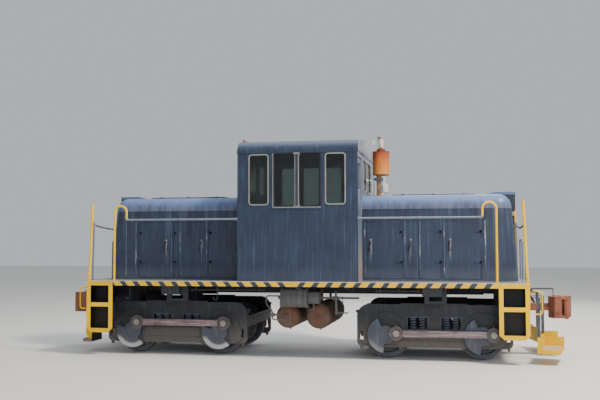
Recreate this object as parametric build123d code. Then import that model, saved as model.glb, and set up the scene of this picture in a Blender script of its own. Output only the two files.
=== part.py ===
from build123d import *
import os
from math import asin, cos, radians, sin

# Small centre-cab diesel shunting locomotive on two side-rod bogies.
# Lengths are in millimetres. X runs along the frame, Y across it, and Z goes up from the lowest
# points of the wheel flanges. The origin is under the middle of the cab.

# Wheels and rail level
flange_depth = 28
rail_top = flange_depth
wheel_dia = 838
wheel_base = 1690
bogie_spacing = 4780
tyre_inner_y = 677
tyre_width = 140
axle_radius = 75

# Frame and running board
deck_length = 8040
deck_width = 2780
deck_top = rail_top + 1365
deck_plate = 20
sill_height = 95
sill_thickness = 40
girder_spacing = 520
girder_width = 80
girder_bottom = rail_top + 1120
cross_bottom = rail_top + 1245
end_plate_thickness = 40
end_plate_margin = 170
end_plate_bottom = rail_top + 985
bracket_bottom = rail_top + 985
bracket_plate = 20
# Side bearing brackets: end, side, and both edges outwards from the bogie's middle
bracket_rows = ((-1, -1, -310, 110), (1, -1, -145, 240), (1, 1, -310, 110), (-1, 1, -145, 240))
bracket_slot = 220
bracket_slot_low = rail_top + 1030
bracket_slot_high = rail_top + 1105

# Cab
cab_length = 2200
cab_inset = 10
cab_wall = 50
cab_wall_top = rail_top + 3687
roof_crown = rail_top + 4000
roof_shoulder = 220
roof_thickness = 40
roof_overhang = 12

# Hoods
hood_width = 1500
hood_wall = 30
hood_top = rail_top + 2930
hood_setback = 130
hood_slope = 126
hood_corner = 240
hood_shoulder = 250
nose_shoulder = 240

# Hood side doors, from the cab outwards
door_count = 3
door_cab_room = 35
door_nose_room = 271
door_bottom = deck_top + 35
door_top = rail_top + 2452
door_gap = 5
door_post = 22
door_thickness = 30
hinge_pin_radius = 6
hinge_offset = 12
hinge_knuckle_radius = 10
hinge_knuckle_height = 70
hinge_pin_clearance = 0.3
hinge_heights = (300, 850)

# Radiator opening in the nose
radiator_half = 430
radiator_bottom = rail_top + 1600
radiator_top = rail_top + 2540

# Cab end doors
cab_door_margin = 80
cab_door_hood_gap = 50
cab_door_height = 2225
cab_hinge_heights = (300, 1850)

# Bogies
frame_inner_y = 900
frame_plate = 80
transom_gap = 18
transom_depth = 55
frame_top_corner = 220
frame_low_corner = 100
frame_bottom = rail_top + 195
frame_top = rail_top + 955
frame_pad = 20
arch_outer = 400
arch_inner = 300
arch_raise = 18
bolster_half = 200
bolster_bottom = rail_top + 600
bolster_top = rail_top + 925
bearing_clearance = 0.5
axle_clearance = 5
centre_gap = 0.5
shoe_gap = 8

# Cranks and side rods
crank_throw = 195
crank_inner_y = 1010
crank_thickness = 66
counterweight_radius = 320
counterweight_angle = 73
crank_hub_radius = 165
crank_pin_radius = 55
rod_gap = 6
rod_thickness = 60
rod_height = 118
rod_eye_radius = 124
pin_clearance = 1
open_pin_clearance = 3
pin_cap_radius = 62
pin_cap_thickness = 14
crank_angle_left = 55
crank_angle_right = 9

# Corner steps
step_length = 512
step_bottom = rail_top + 400
step_mid_top = rail_top + 952
step_bar = 75
step_bar_thickness = 12
step_depth = 150
step_plate = 10
step_chamfer = 80

# Railings
grab_radius = 20
grab_inset = 30
grab_step_gap = 23
grab_hook_width = 235
grab_top = rail_top + 2770
handrail_z = rail_top + 2490
handrail_radius = 17
post_setback = 35
post_lean = 55
post_top = rail_top + 2770
post_radius = 24
chain_inset = 150
chain_setback = 55
chain_z = rail_top + 2400
chain_sag = 75
hoop_top = rail_top + 2105

# Couplers
coupler_height = rail_top + 876
coupler_reach = 800
head_height = 390
head_length = 375
knuckle_height = 280
knuckle_clear = 6
knuckle_pin_y = 140
lever_z = rail_top + 1220
lever_setback = 170
lever_throw = 138
shank_width = 140
shank_height = 130
pocket_wall = 25
pocket_clear = 40

# On the hoods
stack_right_gap = 283
stack_left_gap = 210
bell_gap = 362
bell_y = 230
lamp_setback = 18
lamp_rise = 55
lamp_radius = 125
lamp_drop = 140
lamp_half_width = 170

half_deck = deck_length / 2
half_width = deck_width / 2
end_plate_half = half_width - end_plate_margin
chain_x = half_deck - chain_setback
chain_y = half_width - chain_inset
coupler_front_x = half_deck + coupler_reach
knuckle_pin_x = coupler_front_x - 75
deck_under = deck_top - deck_plate
sill_bottom = deck_top - sill_height
bogie_x = bogie_spacing / 2
half_base = wheel_base / 2
axle_z = rail_top + wheel_dia / 2
transom_x = half_base + wheel_dia / 2 + flange_depth + transom_gap
frame_half_length = transom_x + transom_depth
half_cab = cab_length / 2
cab_side_y = half_width - cab_inset
cab_door_sill = deck_top + 15
hood_side_y = hood_width / 2
hood_foot_x = half_deck - hood_setback
door_first_x = half_cab + door_cab_room
door_pitch = (hood_foot_x - hood_slope - hood_corner - door_nose_room - door_first_x) / door_count
cab_door_inner_y = hood_side_y + cab_door_hood_gap
cab_door_outer_y = cab_side_y - cab_door_margin
cab_door_width = cab_door_outer_y - cab_door_inner_y
step_inner_x = half_deck - step_length
grab_y = half_width - grab_inset
grab_outer_x = step_inner_x - grab_step_gap
grab_inner_x = grab_outer_x - grab_hook_width
post_foot_x = half_deck - post_setback
frame_outer_y = frame_inner_y + frame_plate
rod_inner_y = crank_inner_y + crank_thickness + rod_gap
ends = (-1, 1)
sides = (-1, 1)
cab_door_place = Pos(half_cab - cab_wall - hinge_offset, cab_door_outer_y, 0) * Rot(0, 0, 90)


def block(x0, x1, y0, y1, z0, z1):
    size = Box(abs(x1 - x0), abs(y1 - y0), abs(z1 - z0))
    return Pos((x0 + x1) / 2, (y0 + y1) / 2, (z0 + z1) / 2) * size


def bar(start, end, radius):
    run = Vector(end) - Vector(start)
    return extrude(Plane(origin=start, z_dir=run) * Circle(radius), amount=run.length)


def pipe(points, radius, bend):
    path = FilletPolyline(*points, radius=bend)
    return sweep(Plane(origin=path @ 0, z_dir=path % 0) * Circle(radius), path=path)


def disc_y(x, z, radius, y0, y1):
    return bar((x, y0, z), (x, y1, z), radius)


def along_y(outline, y0, y1):
    face = make_face(Plane.XZ * outline)
    return Pos(0, y1, 0) * extrude(face, amount=y1 - y0)


def box_of(shape):
    return shape.bounding_box()


def turned(shape, end, side):
    """The shape of the +X, +Y quarter, carried to the end and side given by two signs."""
    if end < 0:
        shape = mirror(shape, about=Plane.YZ)
    if side < 0:
        shape = mirror(shape, about=Plane.XZ)
    return shape


def save(name, *shapes):
    solids = [solid for shape in shapes for solid in shape.solids()]
    whole = solids[0] if len(solids) == 1 else Compound(children=solids)
    export_step(whole, "parts/" + name + ".step")


# Frame

def underframe():
    girders = [block(-half_deck + end_plate_thickness, half_deck - end_plate_thickness,
                     side * girder_spacing / 2, side * (girder_spacing / 2 + girder_width),
                     girder_bottom, deck_under) for side in sides]
    cross = []
    for x, half, bottom in ((-bogie_x, 170, rail_top + 1120), (-900, 40, cross_bottom),
                            (0, 40, cross_bottom), (900, 40, cross_bottom),
                            (bogie_x, 170, rail_top + 1120)):
        cross.append(block(x - half, x + half, -half_width + sill_thickness,
                           half_width - sill_thickness, bottom, deck_under))
    for end in ends:
        cross.append(block(end * (half_deck - end_plate_thickness), end * half_deck,
                           -end_plate_half, end_plate_half, end_plate_bottom, sill_bottom))
        cross.append(block(end * (half_deck - sill_thickness - 120), end * (half_deck - sill_thickness),
                           -end_plate_half, end_plate_half, sill_bottom - 60, deck_under))
        x = end * bogie_x
        cross.append(block(x - 230, x + 230, -girder_spacing / 2 - girder_width,
                           girder_spacing / 2 + girder_width, girder_bottom - 30, girder_bottom))
        cross.append(bar((x, 0, bolster_top + centre_gap), (x, 0, girder_bottom - 20), 190))
        cross.append(draft_pocket(end))
    for end, side, near, far in bracket_rows:
        x0, x1, mid = end * (bogie_x + near), end * (bogie_x + far), end * (bogie_x + (near + far) / 2)
        y0, y1, inner_y = side * (half_width - 200), side * (half_width - 160), side * (half_width - 320)
        slot = block(mid - bracket_slot / 2, mid + bracket_slot / 2, y0 - side * 5, y1 + side * 5,
                     bracket_slot_low, bracket_slot_high)
        cross.append(block(x0, x1, y0, y1, bracket_bottom, sill_bottom) - slot)
        cross.append(block(x0, x1, y0, inner_y, bracket_bottom, bracket_bottom + bracket_plate))
        cross.append(block(x0, x1, y0, inner_y, sill_bottom - 60, sill_bottom + 5))
    return girders[0] + (girders[1:] + cross)


def draft_pocket(end):
    outer_y = shank_width / 2 + pocket_clear + pocket_wall
    outer_z = shank_height / 2 + pocket_clear
    x0, x1 = end * (half_deck - 560), end * half_deck
    shell = block(x0, x1, -outer_y, outer_y, coupler_height - outer_z - pocket_wall, girder_bottom + 10)
    hollow = block(x0, end * (half_deck + 10), -outer_y + pocket_wall, outer_y - pocket_wall,
                   coupler_height - outer_z, coupler_height + outer_z)
    web = block(end * (half_deck - 560), end * (half_deck - end_plate_thickness), -girder_spacing / 2,
                girder_spacing / 2, girder_bottom, girder_bottom + 25)
    return shell - hollow + web


def deck():
    plate = block(-half_deck, half_deck, -half_width, half_width, deck_under, deck_top)
    sills = [block(-half_deck, half_deck, side * (half_width - sill_thickness), side * half_width,
                   sill_bottom, deck_under) for side in sides]
    end_sills = [block(end * (half_deck - sill_thickness), end * half_deck,
                       -half_width + sill_thickness, half_width - sill_thickness,
                       sill_bottom, deck_under) for end in ends]
    return plate + (sills + end_sills)


def corner_step():
    x0, x1 = step_inner_x, half_deck
    c = step_chamfer
    outline = Polyline((x0 + c, step_bottom), (x1 - c, step_bottom), (x1, step_bottom + c),
                       (x1, sill_bottom), (x0, sill_bottom), (x0, step_bottom + c), close=True)
    y0, y1 = half_width - step_depth, half_width
    whole = along_y(outline, y0, y1)
    inner = along_y(offset(outline, amount=-step_plate, kind=Kind.INTERSECTION), y0 + step_plate, y1 + 1)
    shell = whole - inner
    front = along_y(outline, y1 - step_bar_thickness, y1)
    opening = Polyline((x0 + step_bar, step_bottom + step_bar), (x1 - step_bar, step_bottom + step_bar),
                       (x1 - step_bar, sill_bottom + 1), (x0 + step_bar, sill_bottom + 1), close=True)
    front -= along_y(opening, y0, y1 + 1)
    rung = block(x0 + step_bar - 1, x1 - step_bar + 1, y1 - step_bar_thickness, y1,
                 step_mid_top - step_bar, step_mid_top)
    treads = [block(x0 + 1, x1 - 1, y0, y1 - step_bar_thickness / 2, top - step_plate, top)
              for top in (step_bottom + step_bar, step_mid_top)]
    top_gap = block(x0 + step_plate, x1 - step_plate, y0 + step_plate, y1 + 1,
                    sill_bottom - 12, sill_bottom + 2)
    return shell - top_gap + [front, rung] + treads


# Cab

def rounded_slot(width, height, radius):
    return RectangleRounded(width, height, radius) if radius else Rectangle(width, height)


# Cab side windows: middle X, width, bottom, top, corner radius
side_windows = ((-703, 378, 2733, 3664, 65), (703, 378, 2733, 3664, 65), (0, 890, 2685, 3682, 12))
# Cab end windows over the hoods: middle Y, width, bottom, top, corner radius
end_window_post = 110
end_window_width = cab_door_inner_y - 125 - end_window_post / 2
end_windows = [(side * (end_window_post + end_window_width) / 2, end_window_width, 3010, 3620, 65)
               for side in sides]
frame_bar = 22
frame_fit = 0.3
glass_thickness = 8


def window_cut_y(row, grow, y0, y1):
    mid, width, low, high, radius = row
    sketch = rounded_slot(width + 2 * grow, high - low + 2 * grow, max(radius + grow, 0.5))
    place = Plane(origin=(mid, y1, rail_top + (low + high) / 2), x_dir=(1, 0, 0), z_dir=(0, -1, 0))
    return extrude(place * sketch, amount=y1 - y0)


def window_cut_x(row, grow, x0, x1):
    mid, width, low, high, radius = row
    sketch = rounded_slot(width + 2 * grow, high - low + 2 * grow, max(radius + grow, 0.5))
    place = Plane(origin=(x0, mid, rail_top + (low + high) / 2), x_dir=(0, 1, 0), z_dir=(1, 0, 0))
    return extrude(place * sketch, amount=x1 - x0)


def cab_side():
    y0, y1 = cab_side_y - cab_wall, cab_side_y
    wall = block(-half_cab, half_cab, y0, y1, deck_top, cab_wall_top)
    for row in side_windows:
        wall -= window_cut_y(row, 0, y0 - 1, y1 + 1)
    return wall


def cab_end():
    """The wall over the +X hood, with the door on the +Y walkway."""
    x0, x1 = half_cab - cab_wall, half_cab
    y1 = cab_side_y - cab_wall
    wall = block(x0, x1, -y1, y1, deck_top, cab_wall_top)
    for row in end_windows:
        wall -= window_cut_x(row, 0, x0 - 1, x1 + 1)
    wall -= block(x0 - 1, x1 + 1, -hood_side_y + 90, hood_side_y - 90, deck_top + 40, hood_top - 120)
    wall -= block(x0 - 1, x1 + 1, cab_door_inner_y, cab_door_inner_y + cab_door_width,
                  cab_door_sill, cab_door_sill + cab_door_height)
    sockets = hinge_sockets(0, 0, cab_hinge_heights, cab_door_sill + door_gap)
    return wall + [cab_door_place * part for part in sockets]


def roof_outline(inset):
    """Two shoulders, each tangent to its wall and to the wide crown arc."""
    shoulder_y = cab_side_y - roof_shoulder
    rise = roof_crown - cab_wall_top
    crown_radius = (shoulder_y ** 2 + rise ** 2 - roof_shoulder ** 2) / (2 * (rise - roof_shoulder))
    tilt = asin(shoulder_y / (crown_radius - roof_shoulder))
    crown, bend = crown_radius - inset, roof_shoulder - inset
    y, z = crown * sin(tilt), roof_crown - crown_radius + crown * cos(tilt)
    middle = (tilt + radians(90)) / 2
    mid_y, mid_z = shoulder_y + bend * sin(middle), cab_wall_top + bend * cos(middle)
    side, base = shoulder_y + bend, cab_wall_top
    edges = [ThreePointArc((-side, base), (-mid_y, mid_z), (-y, z)),
             ThreePointArc((-y, z), (0, roof_crown - inset), (y, z)),
             ThreePointArc((y, z), (mid_y, mid_z), (side, base)), Line((side, base), (-side, base))]
    return make_face(Plane.YZ * Curve(children=edges))


def cab_roof():
    length = cab_length + 2 * roof_overhang
    outer = Pos(-length / 2, 0, 0) * extrude(roof_outline(0), amount=length, dir=(1, 0, 0))
    inner_length = cab_length - 2 * cab_wall
    inner = extrude(roof_outline(roof_thickness), amount=inner_length, dir=(1, 0, 0))
    return outer - Pos(-inner_length / 2, 0, 0) * inner


def window_rings():
    rings, panes = [], []
    for side in sides:
        y0, y1 = side * (cab_side_y - cab_wall), side * (cab_side_y + 8)
        low, high = min(y0, y1), max(y0, y1)
        for row in side_windows:
            ring = window_cut_y(row, -frame_fit, low, high)
            ring -= window_cut_y(row, -frame_bar, low - 1, high + 1)
            middle = window_cut_y(row, -frame_bar - frame_fit, side * (cab_side_y - 25),
                                  side * (cab_side_y - 25) + glass_thickness)
            if row[1] > 600:
                mullion = block(-22, 22, low, high, rail_top + row[2] + frame_bar - 2,
                                rail_top + row[3] - frame_bar + 2)
                ring += mullion
                middle -= block(-22 - frame_fit, 22 + frame_fit, low - 1, high + 1,
                                rail_top + row[2], rail_top + row[3])
            rings.append(ring)
            panes.append(middle)
    for end in ends:
        x0, x1 = end * (half_cab - cab_wall), end * (half_cab + 8)
        low, high = min(x0, x1), max(x0, x1)
        for row in end_windows:
            ring = window_cut_x(row, -frame_fit, low, high)
            ring -= window_cut_x(row, -frame_bar, low - 1, high + 1)
            rings.append(ring)
            pane_x = end * (half_cab - 25)
            panes.append(window_cut_x(row, -frame_bar - frame_fit, pane_x, pane_x + glass_thickness))
    return rings, panes


# Hoods

def hood_form(inset):
    """One hood's closed outer form, or the space inside its sheets."""
    x0 = half_cab
    x_foot, x_brow = hood_foot_x - inset, hood_foot_x - hood_slope - inset
    top, low = hood_top - inset, deck_top - (0 if inset == 0 else 5)
    lean = (x_foot - x_brow) / (hood_top - deck_top)
    outline = Polyline((x0 - (5 if inset else 0), low), (x_foot + lean * (deck_top - low), low),
                       (x_brow, top), (x0 - (5 if inset else 0), top), close=True)
    half = hood_side_y - inset
    form = along_y(outline, -half, half)
    upright = [edge for edge in form.edges() if box_of(edge).min.X > x_brow - 1
               and box_of(edge).size.Z > 100 and box_of(edge).size.Y < 1]
    form = fillet(upright, hood_corner - inset)
    rim = [edge for edge in form.edges() if box_of(edge).min.Z > top - 0.5 and box_of(edge).max.X > x0 + 1]
    return fillet(rim, hood_shoulder - 12 - inset)


def door_x(number):
    """The cab-side and hinge-side X of a hood door's opening."""
    inner = door_first_x + number * door_pitch
    return inner, inner + door_pitch


def hinge_sockets(axis_x, axis_y, heights, z_base):
    """Pins with an ear above and below each knuckle, standing off the sheet at the hinge side."""
    parts = []
    half = hinge_knuckle_height / 2
    x, y = axis_x, axis_y
    for height in heights:
        z = z_base + height
        parts.append(bar((x, y, z - half - 14), (x, y, z + half + 14), hinge_pin_radius))
        for low in (z - half - 14, z + half + 1):
            parts.append(bar((x, y, low), (x, y, low + 13), hinge_knuckle_radius))
            parts.append(block(x, x + 20, y - hinge_offset - 2, y + hinge_knuckle_radius, low, low + 13))
    return parts


def swing_leaf(width, bottom, top, heights, handle_z):
    """A door in its own frame: hinge axis on Z at X = 0, Y = 0, the leaf running to -X, opening to +Y."""
    face = -hinge_offset
    leaf = block(-width + door_gap, -door_gap, face - door_thickness, face, bottom, top)
    half = hinge_knuckle_height / 2
    for height in heights:
        z = bottom + height
        leaf += block(-60, 0, face, face + 5, z - half, z + half)
        leaf += bar((0, 0, z - half), (0, 0, z + half), hinge_knuckle_radius)
        leaf -= bar((0, 0, z - half - 1), (0, 0, z + half + 1), hinge_pin_radius + hinge_pin_clearance)
    x = -width + 120
    leaf += block(x - 16, x + 16, face, face + 14, handle_z - 20, handle_z + 20)
    leaf += block(x - 12, x + 12, face + 14, face + 26, handle_z - 150, handle_z + 16)
    return leaf


def hood():
    """The +X hood: shell, door openings on both sides, radiator opening, hinge pins."""
    shell = hood_form(0) - hood_form(hood_wall)
    sockets = []
    for number in range(door_count):
        x0, x1 = door_x(number)
        for side in sides:
            y0, y1 = side * (hood_side_y - hood_wall - 5), side * (hood_side_y + 5)
            shell -= block(x0, x1, y0, y1, door_bottom - door_gap, door_top + door_gap)
            axis_y = hood_side_y + hinge_offset
            parts = hinge_sockets(x1, axis_y, hinge_heights, door_bottom)
            sockets += [turned(part, 1, side) for part in parts]
    # Door posts between neighbouring doors carry the hinges.
    for number in range(door_count):
        x1 = door_x(number)[1]
        for side in sides:
            low, high = door_bottom - door_gap - 2, door_top + door_gap + 2
            y0, y1 = side * (hood_side_y - 60), side * hood_side_y
            sockets.append(block(x1, x1 + door_post, y0, y1, low, high))
            sockets.append(block(x1 - 20, x1 + door_post, y0, y0 + side * 24, deck_top, high + 60))
    grille = block(hood_foot_x - 600, hood_foot_x + 100, -radiator_half, radiator_half,
                   radiator_bottom, radiator_top)
    shell -= grille
    return shell + sockets


def hood_door(number):
    x1 = door_x(number)[1]
    width = door_pitch - door_post if number else door_pitch
    leaf = swing_leaf(width, door_bottom, door_top, hinge_heights, rail_top + 2050)
    return Pos(x1, hood_side_y + hinge_offset, 0) * leaf


def cab_door():
    """The +X end's door on the +Y walkway. It opens into the cab about its outer edge."""
    top = cab_door_sill + cab_door_height - door_gap
    leaf = swing_leaf(cab_door_width, cab_door_sill + door_gap, top, cab_hinge_heights, rail_top + 2300)
    leaf = cab_door_place * leaf
    mid_y = cab_door_inner_y + cab_door_width / 2
    row = (mid_y, cab_door_width - 170, 2995, top - rail_top - 95, 60)
    return leaf - window_cut_x(row, 0, half_cab - 100, half_cab + 10)


def radiator():
    plate = []
    x_front = hood_foot_x - hood_slope * (radiator_bottom - deck_top) / (hood_top - deck_top)
    for row in range(14):
        z = radiator_bottom + 34 + row * (radiator_top - radiator_bottom - 68) / 13
        x = hood_foot_x - hood_slope * (z - deck_top) / (hood_top - deck_top)
        plate.append(block(x - 45, x - 8, -radiator_half + 10, radiator_half - 10, z - 22, z - 4))
    core = block(x_front - 260, x_front - 150, -radiator_half, radiator_half, radiator_bottom, radiator_top)
    posts = [block(x_front - 160, x_front - 28, y - 12, y + 12, radiator_bottom, radiator_top)
             for y in (-radiator_half + 22, 0, radiator_half - 22)]
    return core, posts, plate


# Bogies

def crank(x, angle, side):
    """Crank with its counterweight and pin on one axle end."""
    y0, y1 = side * crank_inner_y, side * (crank_inner_y + crank_thickness)
    a = radians(angle)
    pin = (x + crank_throw * cos(a), axle_z + crank_throw * sin(a))
    hub = disc_y(x, axle_z, crank_hub_radius, y0, y1)
    boss = disc_y(pin[0], pin[1], crank_pin_radius + 40, y0, y1)
    sector = []
    back = angle + 180
    steps = (-counterweight_angle, 0, counterweight_angle)
    rim = [(x + counterweight_radius * cos(radians(back + d)),
            axle_z + counterweight_radius * sin(radians(back + d))) for d in steps]
    edges = [Line((x, axle_z), rim[0]), ThreePointArc(*rim), Line(rim[2], (x, axle_z))]
    weight = make_face(Plane.XZ * Curve(children=edges))
    low = min(y0, y1)
    weight = Pos(0, low + crank_thickness, 0) * extrude(weight, amount=crank_thickness)
    if weight.bounding_box().max.Y > low + crank_thickness + 1 or weight.bounding_box().min.Y < low - 1:
        weight = Pos(0, low - weight.bounding_box().min.Y, 0) * weight
    arm = block(0, crank_throw, -(crank_pin_radius + 40), crank_pin_radius + 40, low, low + crank_thickness)
    arm = Rot(90, 0, 0) * Pos(0, 0, -2 * low - crank_thickness) * arm
    arm = Pos(x, 0, axle_z) * Rot(0, -angle, 0) * arm
    end_y = side * (rod_inner_y + rod_thickness + 2)
    stud = disc_y(pin[0], pin[1], crank_pin_radius, y0, end_y)
    cap = disc_y(pin[0], pin[1], pin_cap_radius, end_y, end_y + side * pin_cap_thickness)
    return hub + [boss, weight, arm, stud, cap]


def wheel_half():
    """Half section of one tyre, wheel centre and hub, from the axis outwards, in X = radius, Y = across."""
    r = wheel_dia / 2
    y0, y1 = tyre_inner_y, tyre_inner_y + tyre_width
    points = [(0, y0 - 5), (140, y0 - 5), (140, y0 + 45), (r - 95, y0 + 50), (r - 75, y0), (r + 12, y0),
              (r + flange_depth, y0 + 12), (r + flange_depth - 4, y0 + 24), (r + 4, y0 + 38), (r - 5, y1),
              (r - 75, y1), (r - 90, y0 + 85), (150, y0 + 85), (140, y1 + 25), (0, y1 + 25)]
    return make_face(Polyline(*points, close=True))


def wheelset(x, angle):
    section = wheel_half()
    wheel = revolve(section, axis=Axis.Y)
    parts = [disc_y(x, axle_z, axle_radius, -crank_inner_y - 10, crank_inner_y + 10)]
    for side in sides:
        one = wheel if side > 0 else mirror(wheel, about=Plane.XZ)
        parts.append(Pos(x, 0, axle_z) * one)
        parts.append(crank(x, angle if side < 0 else angle + 90, side))
    return parts[0] + parts[1:]


def side_rod(lead_x, far_x, angle, side):
    """Rod between the driven axle's pin and the other axle's pin."""
    a = radians(angle if side < 0 else angle + 90)
    y0, y1 = side * rod_inner_y, side * (rod_inner_y + rod_thickness)
    shift, z = crank_throw * cos(a), axle_z + crank_throw * sin(a)
    near, far = lead_x + shift, far_x + shift
    rod = block(near, far, y0, y1, z - rod_height / 2, z + rod_height / 2)
    for eye in (near, far):
        rod += disc_y(eye, z, rod_eye_radius, y0, y1)
    rod -= disc_y(near, z, crank_pin_radius + pin_clearance, y0 - side * 1, y1 + side * 1)
    rod -= disc_y(far, z, crank_pin_radius + open_pin_clearance, y0 - side * 1, y1 + side * 1)
    return rod


# Openings over the springs in the bogie side plates: inner and outer X from the bogie's middle
spring_openings = ((-456, -112), (134, 471))
spring_low = rail_top + 520
spring_high = rail_top + 725
spring_radius = 62
# Channel beam low on each side plate: both ends from the bogie's middle, bottom, top, depths
beam_x = (-630, 460)
beam_bottom = rail_top + 290
beam_top = rail_top + 485
beam_web = 8
beam_flange = 20


def bogie_frame(x):
    parts = []
    n = frame_half_length
    for side in sides:
        y0, y1 = side * frame_inner_y, side * frame_outer_y
        low, high = min(y0, y1), max(y0, y1)
        plate = block(x - n, x + n, low, high, frame_bottom, frame_top)
        corners = plate.edges().filter_by(Axis.Y).group_by(Axis.Z)
        plate = fillet(corners[-1], frame_top_corner)
        plate = fillet(plate.edges().filter_by(Axis.Y).group_by(Axis.Z)[0], frame_low_corner)
        for a, b in spring_openings:
            plate -= block(x + a, x + b, low - 1, high + 1, spring_low, spring_high)
        for wheel in ends:
            axle_x = x + wheel * half_base
            ring = disc_y(axle_x, axle_z, arch_outer, y1 - side * 1, y1 + side * arch_raise)
            ring -= disc_y(axle_x, axle_z, arch_inner, y1 - side * 5, y1 + side * (arch_raise + 5))
            ring -= block(axle_x - 500, axle_x + 500, y1 - side * 5, y1 + side * 40, rail_top - 50, axle_z)
            box = block(axle_x - 150, axle_x + 150, y0 - side * 25, y1, axle_z - 160, axle_z + 160)
            plate += [ring, box]
            notch_x = x + wheel * (n - 80)
            notch = Polyline((notch_x - 38, frame_bottom + 110), (notch_x + 38, frame_bottom + 110),
                             (notch_x + 14, frame_bottom + 280), (notch_x - 14, frame_bottom + 280),
                             close=True)
            plate -= along_y(notch, low - 1, high + 1)
        plate += block(x - 590, x + 590, y0 + side * 5, y1 + side * 15, frame_top, frame_top + frame_pad)
        x0, x1, back_y = x + beam_x[0], x + beam_x[1], y1 - side
        low_beam = block(x0, x1, back_y, y1 + side * beam_web, beam_bottom, beam_top)
        low_beam += block(x0, x1, back_y, y1 + side * beam_flange, beam_bottom, beam_bottom + 20)
        low_beam += block(x0, x1, back_y, y1 + side * beam_flange, beam_top - 12, beam_top)
        plate += low_beam
        for foot in (-n + 75, beam_x[0] + 40, beam_x[1] + 40, n - 75):
            plate += block(x + foot - 20, x + foot + 20, y0 + side * 10, y1 - side * 10,
                           frame_bottom - 40, frame_bottom + 120)
        parts.append(plate)
    parts.append(block(x - bolster_half, x + bolster_half, -frame_inner_y, frame_inner_y,
                       bolster_bottom, bolster_top - 60))
    parts.append(bar((x, 0, bolster_top - 70), (x, 0, bolster_top), 230))
    for wheel in ends:
        tx = x + wheel * transom_x
        parts.append(block(tx, x + wheel * frame_half_length, -frame_inner_y, frame_inner_y,
                           rail_top + 500, rail_top + 700))
        parts += brake_shoes(x + wheel * half_base, wheel)
    frame = parts[0] + parts[1:]
    for wheel in ends:
        axle_x = x + wheel * half_base
        frame -= disc_y(axle_x, axle_z, axle_radius + bearing_clearance, -2000, 2000)
    for cx, y in spring_places(x):
        frame -= bar((cx, y, spring_low), (cx, y, spring_high), spring_radius + 6)
    return frame


def brake_shoes(axle_x, wheel):
    shoes = []
    tread = wheel_dia / 2 + shoe_gap
    for side in sides:
        y0, y1 = side * (tyre_inner_y + 44), side * (tyre_inner_y + tyre_width - 12)
        shoe = disc_y(axle_x, axle_z, tread + 45, y0, y1)
        x0 = axle_x + wheel * (wheel_dia / 2 - 80)
        shoe &= block(x0, axle_x + wheel * 700, y0 - side * 5, y1 + side * 5, axle_z - 60, rail_top + 690)
        x_transom = axle_x + wheel * (transom_x - half_base)
        shoe += block(x_transom - wheel * 120, x_transom + wheel * 5, y0, y1,
                      rail_top + 520, rail_top + 680)
        shoe -= disc_y(axle_x, axle_z, tread, y0 - side * 5, y1 + side * 5)
        shoes.append(shoe)
    return shoes


def spring_places(x):
    y = frame_inner_y + frame_plate / 2
    return [(x + a + (b - a) * share, side * y) for side in sides for a, b in spring_openings
            for share in (0.27, 0.73)]


def springs(x):
    return [bar((cx, y, spring_low), (cx, y, spring_high), spring_radius) for cx, y in spring_places(x)]


def motor(x, wheel):
    """Traction motor between the bolster and one axle, as one plain block with its gear case."""
    near = x + wheel * bolster_half
    axle_x = x + wheel * half_base
    body = block(near, axle_x - wheel * (axle_radius + 30), -330, 330, rail_top + 245, rail_top + 690)
    case = disc_y(axle_x, axle_z, 350, 360, 480)
    case -= disc_y(axle_x, axle_z, axle_radius + axle_clearance, 350, 490)
    link = block(near + wheel * 60, axle_x - wheel * 100, 300, 480, axle_z - 120, axle_z + 120)
    link -= disc_y(axle_x, axle_z, axle_radius + axle_clearance, 290, 490)
    return body + [case, link]


# Ends

def coupler_head(end):
    x, half_w, half_h = coupler_front_x, shank_width / 2, shank_height / 2
    z, butt_y, butt_z = coupler_height, half_w + pocket_clear, half_h + pocket_clear
    shank = block(half_deck - 330, x - 230, -half_w, half_w, z - half_h, z + half_h)
    butt = block(half_deck - 500, half_deck - 320, -butt_y, butt_y, z - butt_z, z + butt_z)
    back = x - head_length
    outline = Polyline((back, -100), (back + 65, -185), (x + 10, -215), (x + 40, -150), (x - 105, -60),
                       (x - 110, 60), (x - 35, 120), (x - 35, 190), (back + 85, 200), (back, 100),
                       close=True)
    low = coupler_height - head_height / 2
    head = extrude(Plane(origin=(0, 0, low)) * make_face(outline), amount=head_height)
    mid = knuckle_height / 2 + knuckle_clear
    head -= block(x - 160, x + 100, 5, 260, coupler_height - mid, coupler_height + mid)
    pin = bar((knuckle_pin_x, knuckle_pin_y, low), (knuckle_pin_x, knuckle_pin_y, low + head_height), 20)
    return turned(shank + [butt, head, pin], end, -end)


def knuckle(end):
    x = coupler_front_x
    outline = Polyline((x - 100, 62), (x - 77, 5), (x - 62, -25), (x - 20, -45), (x, 15), (x, 110),
                       (x - 30, 175), (x - 75, 192), (x - 115, 175), (x - 127, 140), close=True)
    low = coupler_height - knuckle_height / 2
    jaw = extrude(Plane(origin=(0, 0, low)) * make_face(outline), amount=knuckle_height)
    uprights = [edge for edge in jaw.edges() if box_of(edge).size.Z > 100 and box_of(edge).min.Y < 20]
    jaw = fillet(uprights, 12)
    jaw -= bar((knuckle_pin_x, knuckle_pin_y, low - 1),
               (knuckle_pin_x, knuckle_pin_y, low + knuckle_height + 1), 20 + pin_clearance)
    return turned(jaw, end, -end)


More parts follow.
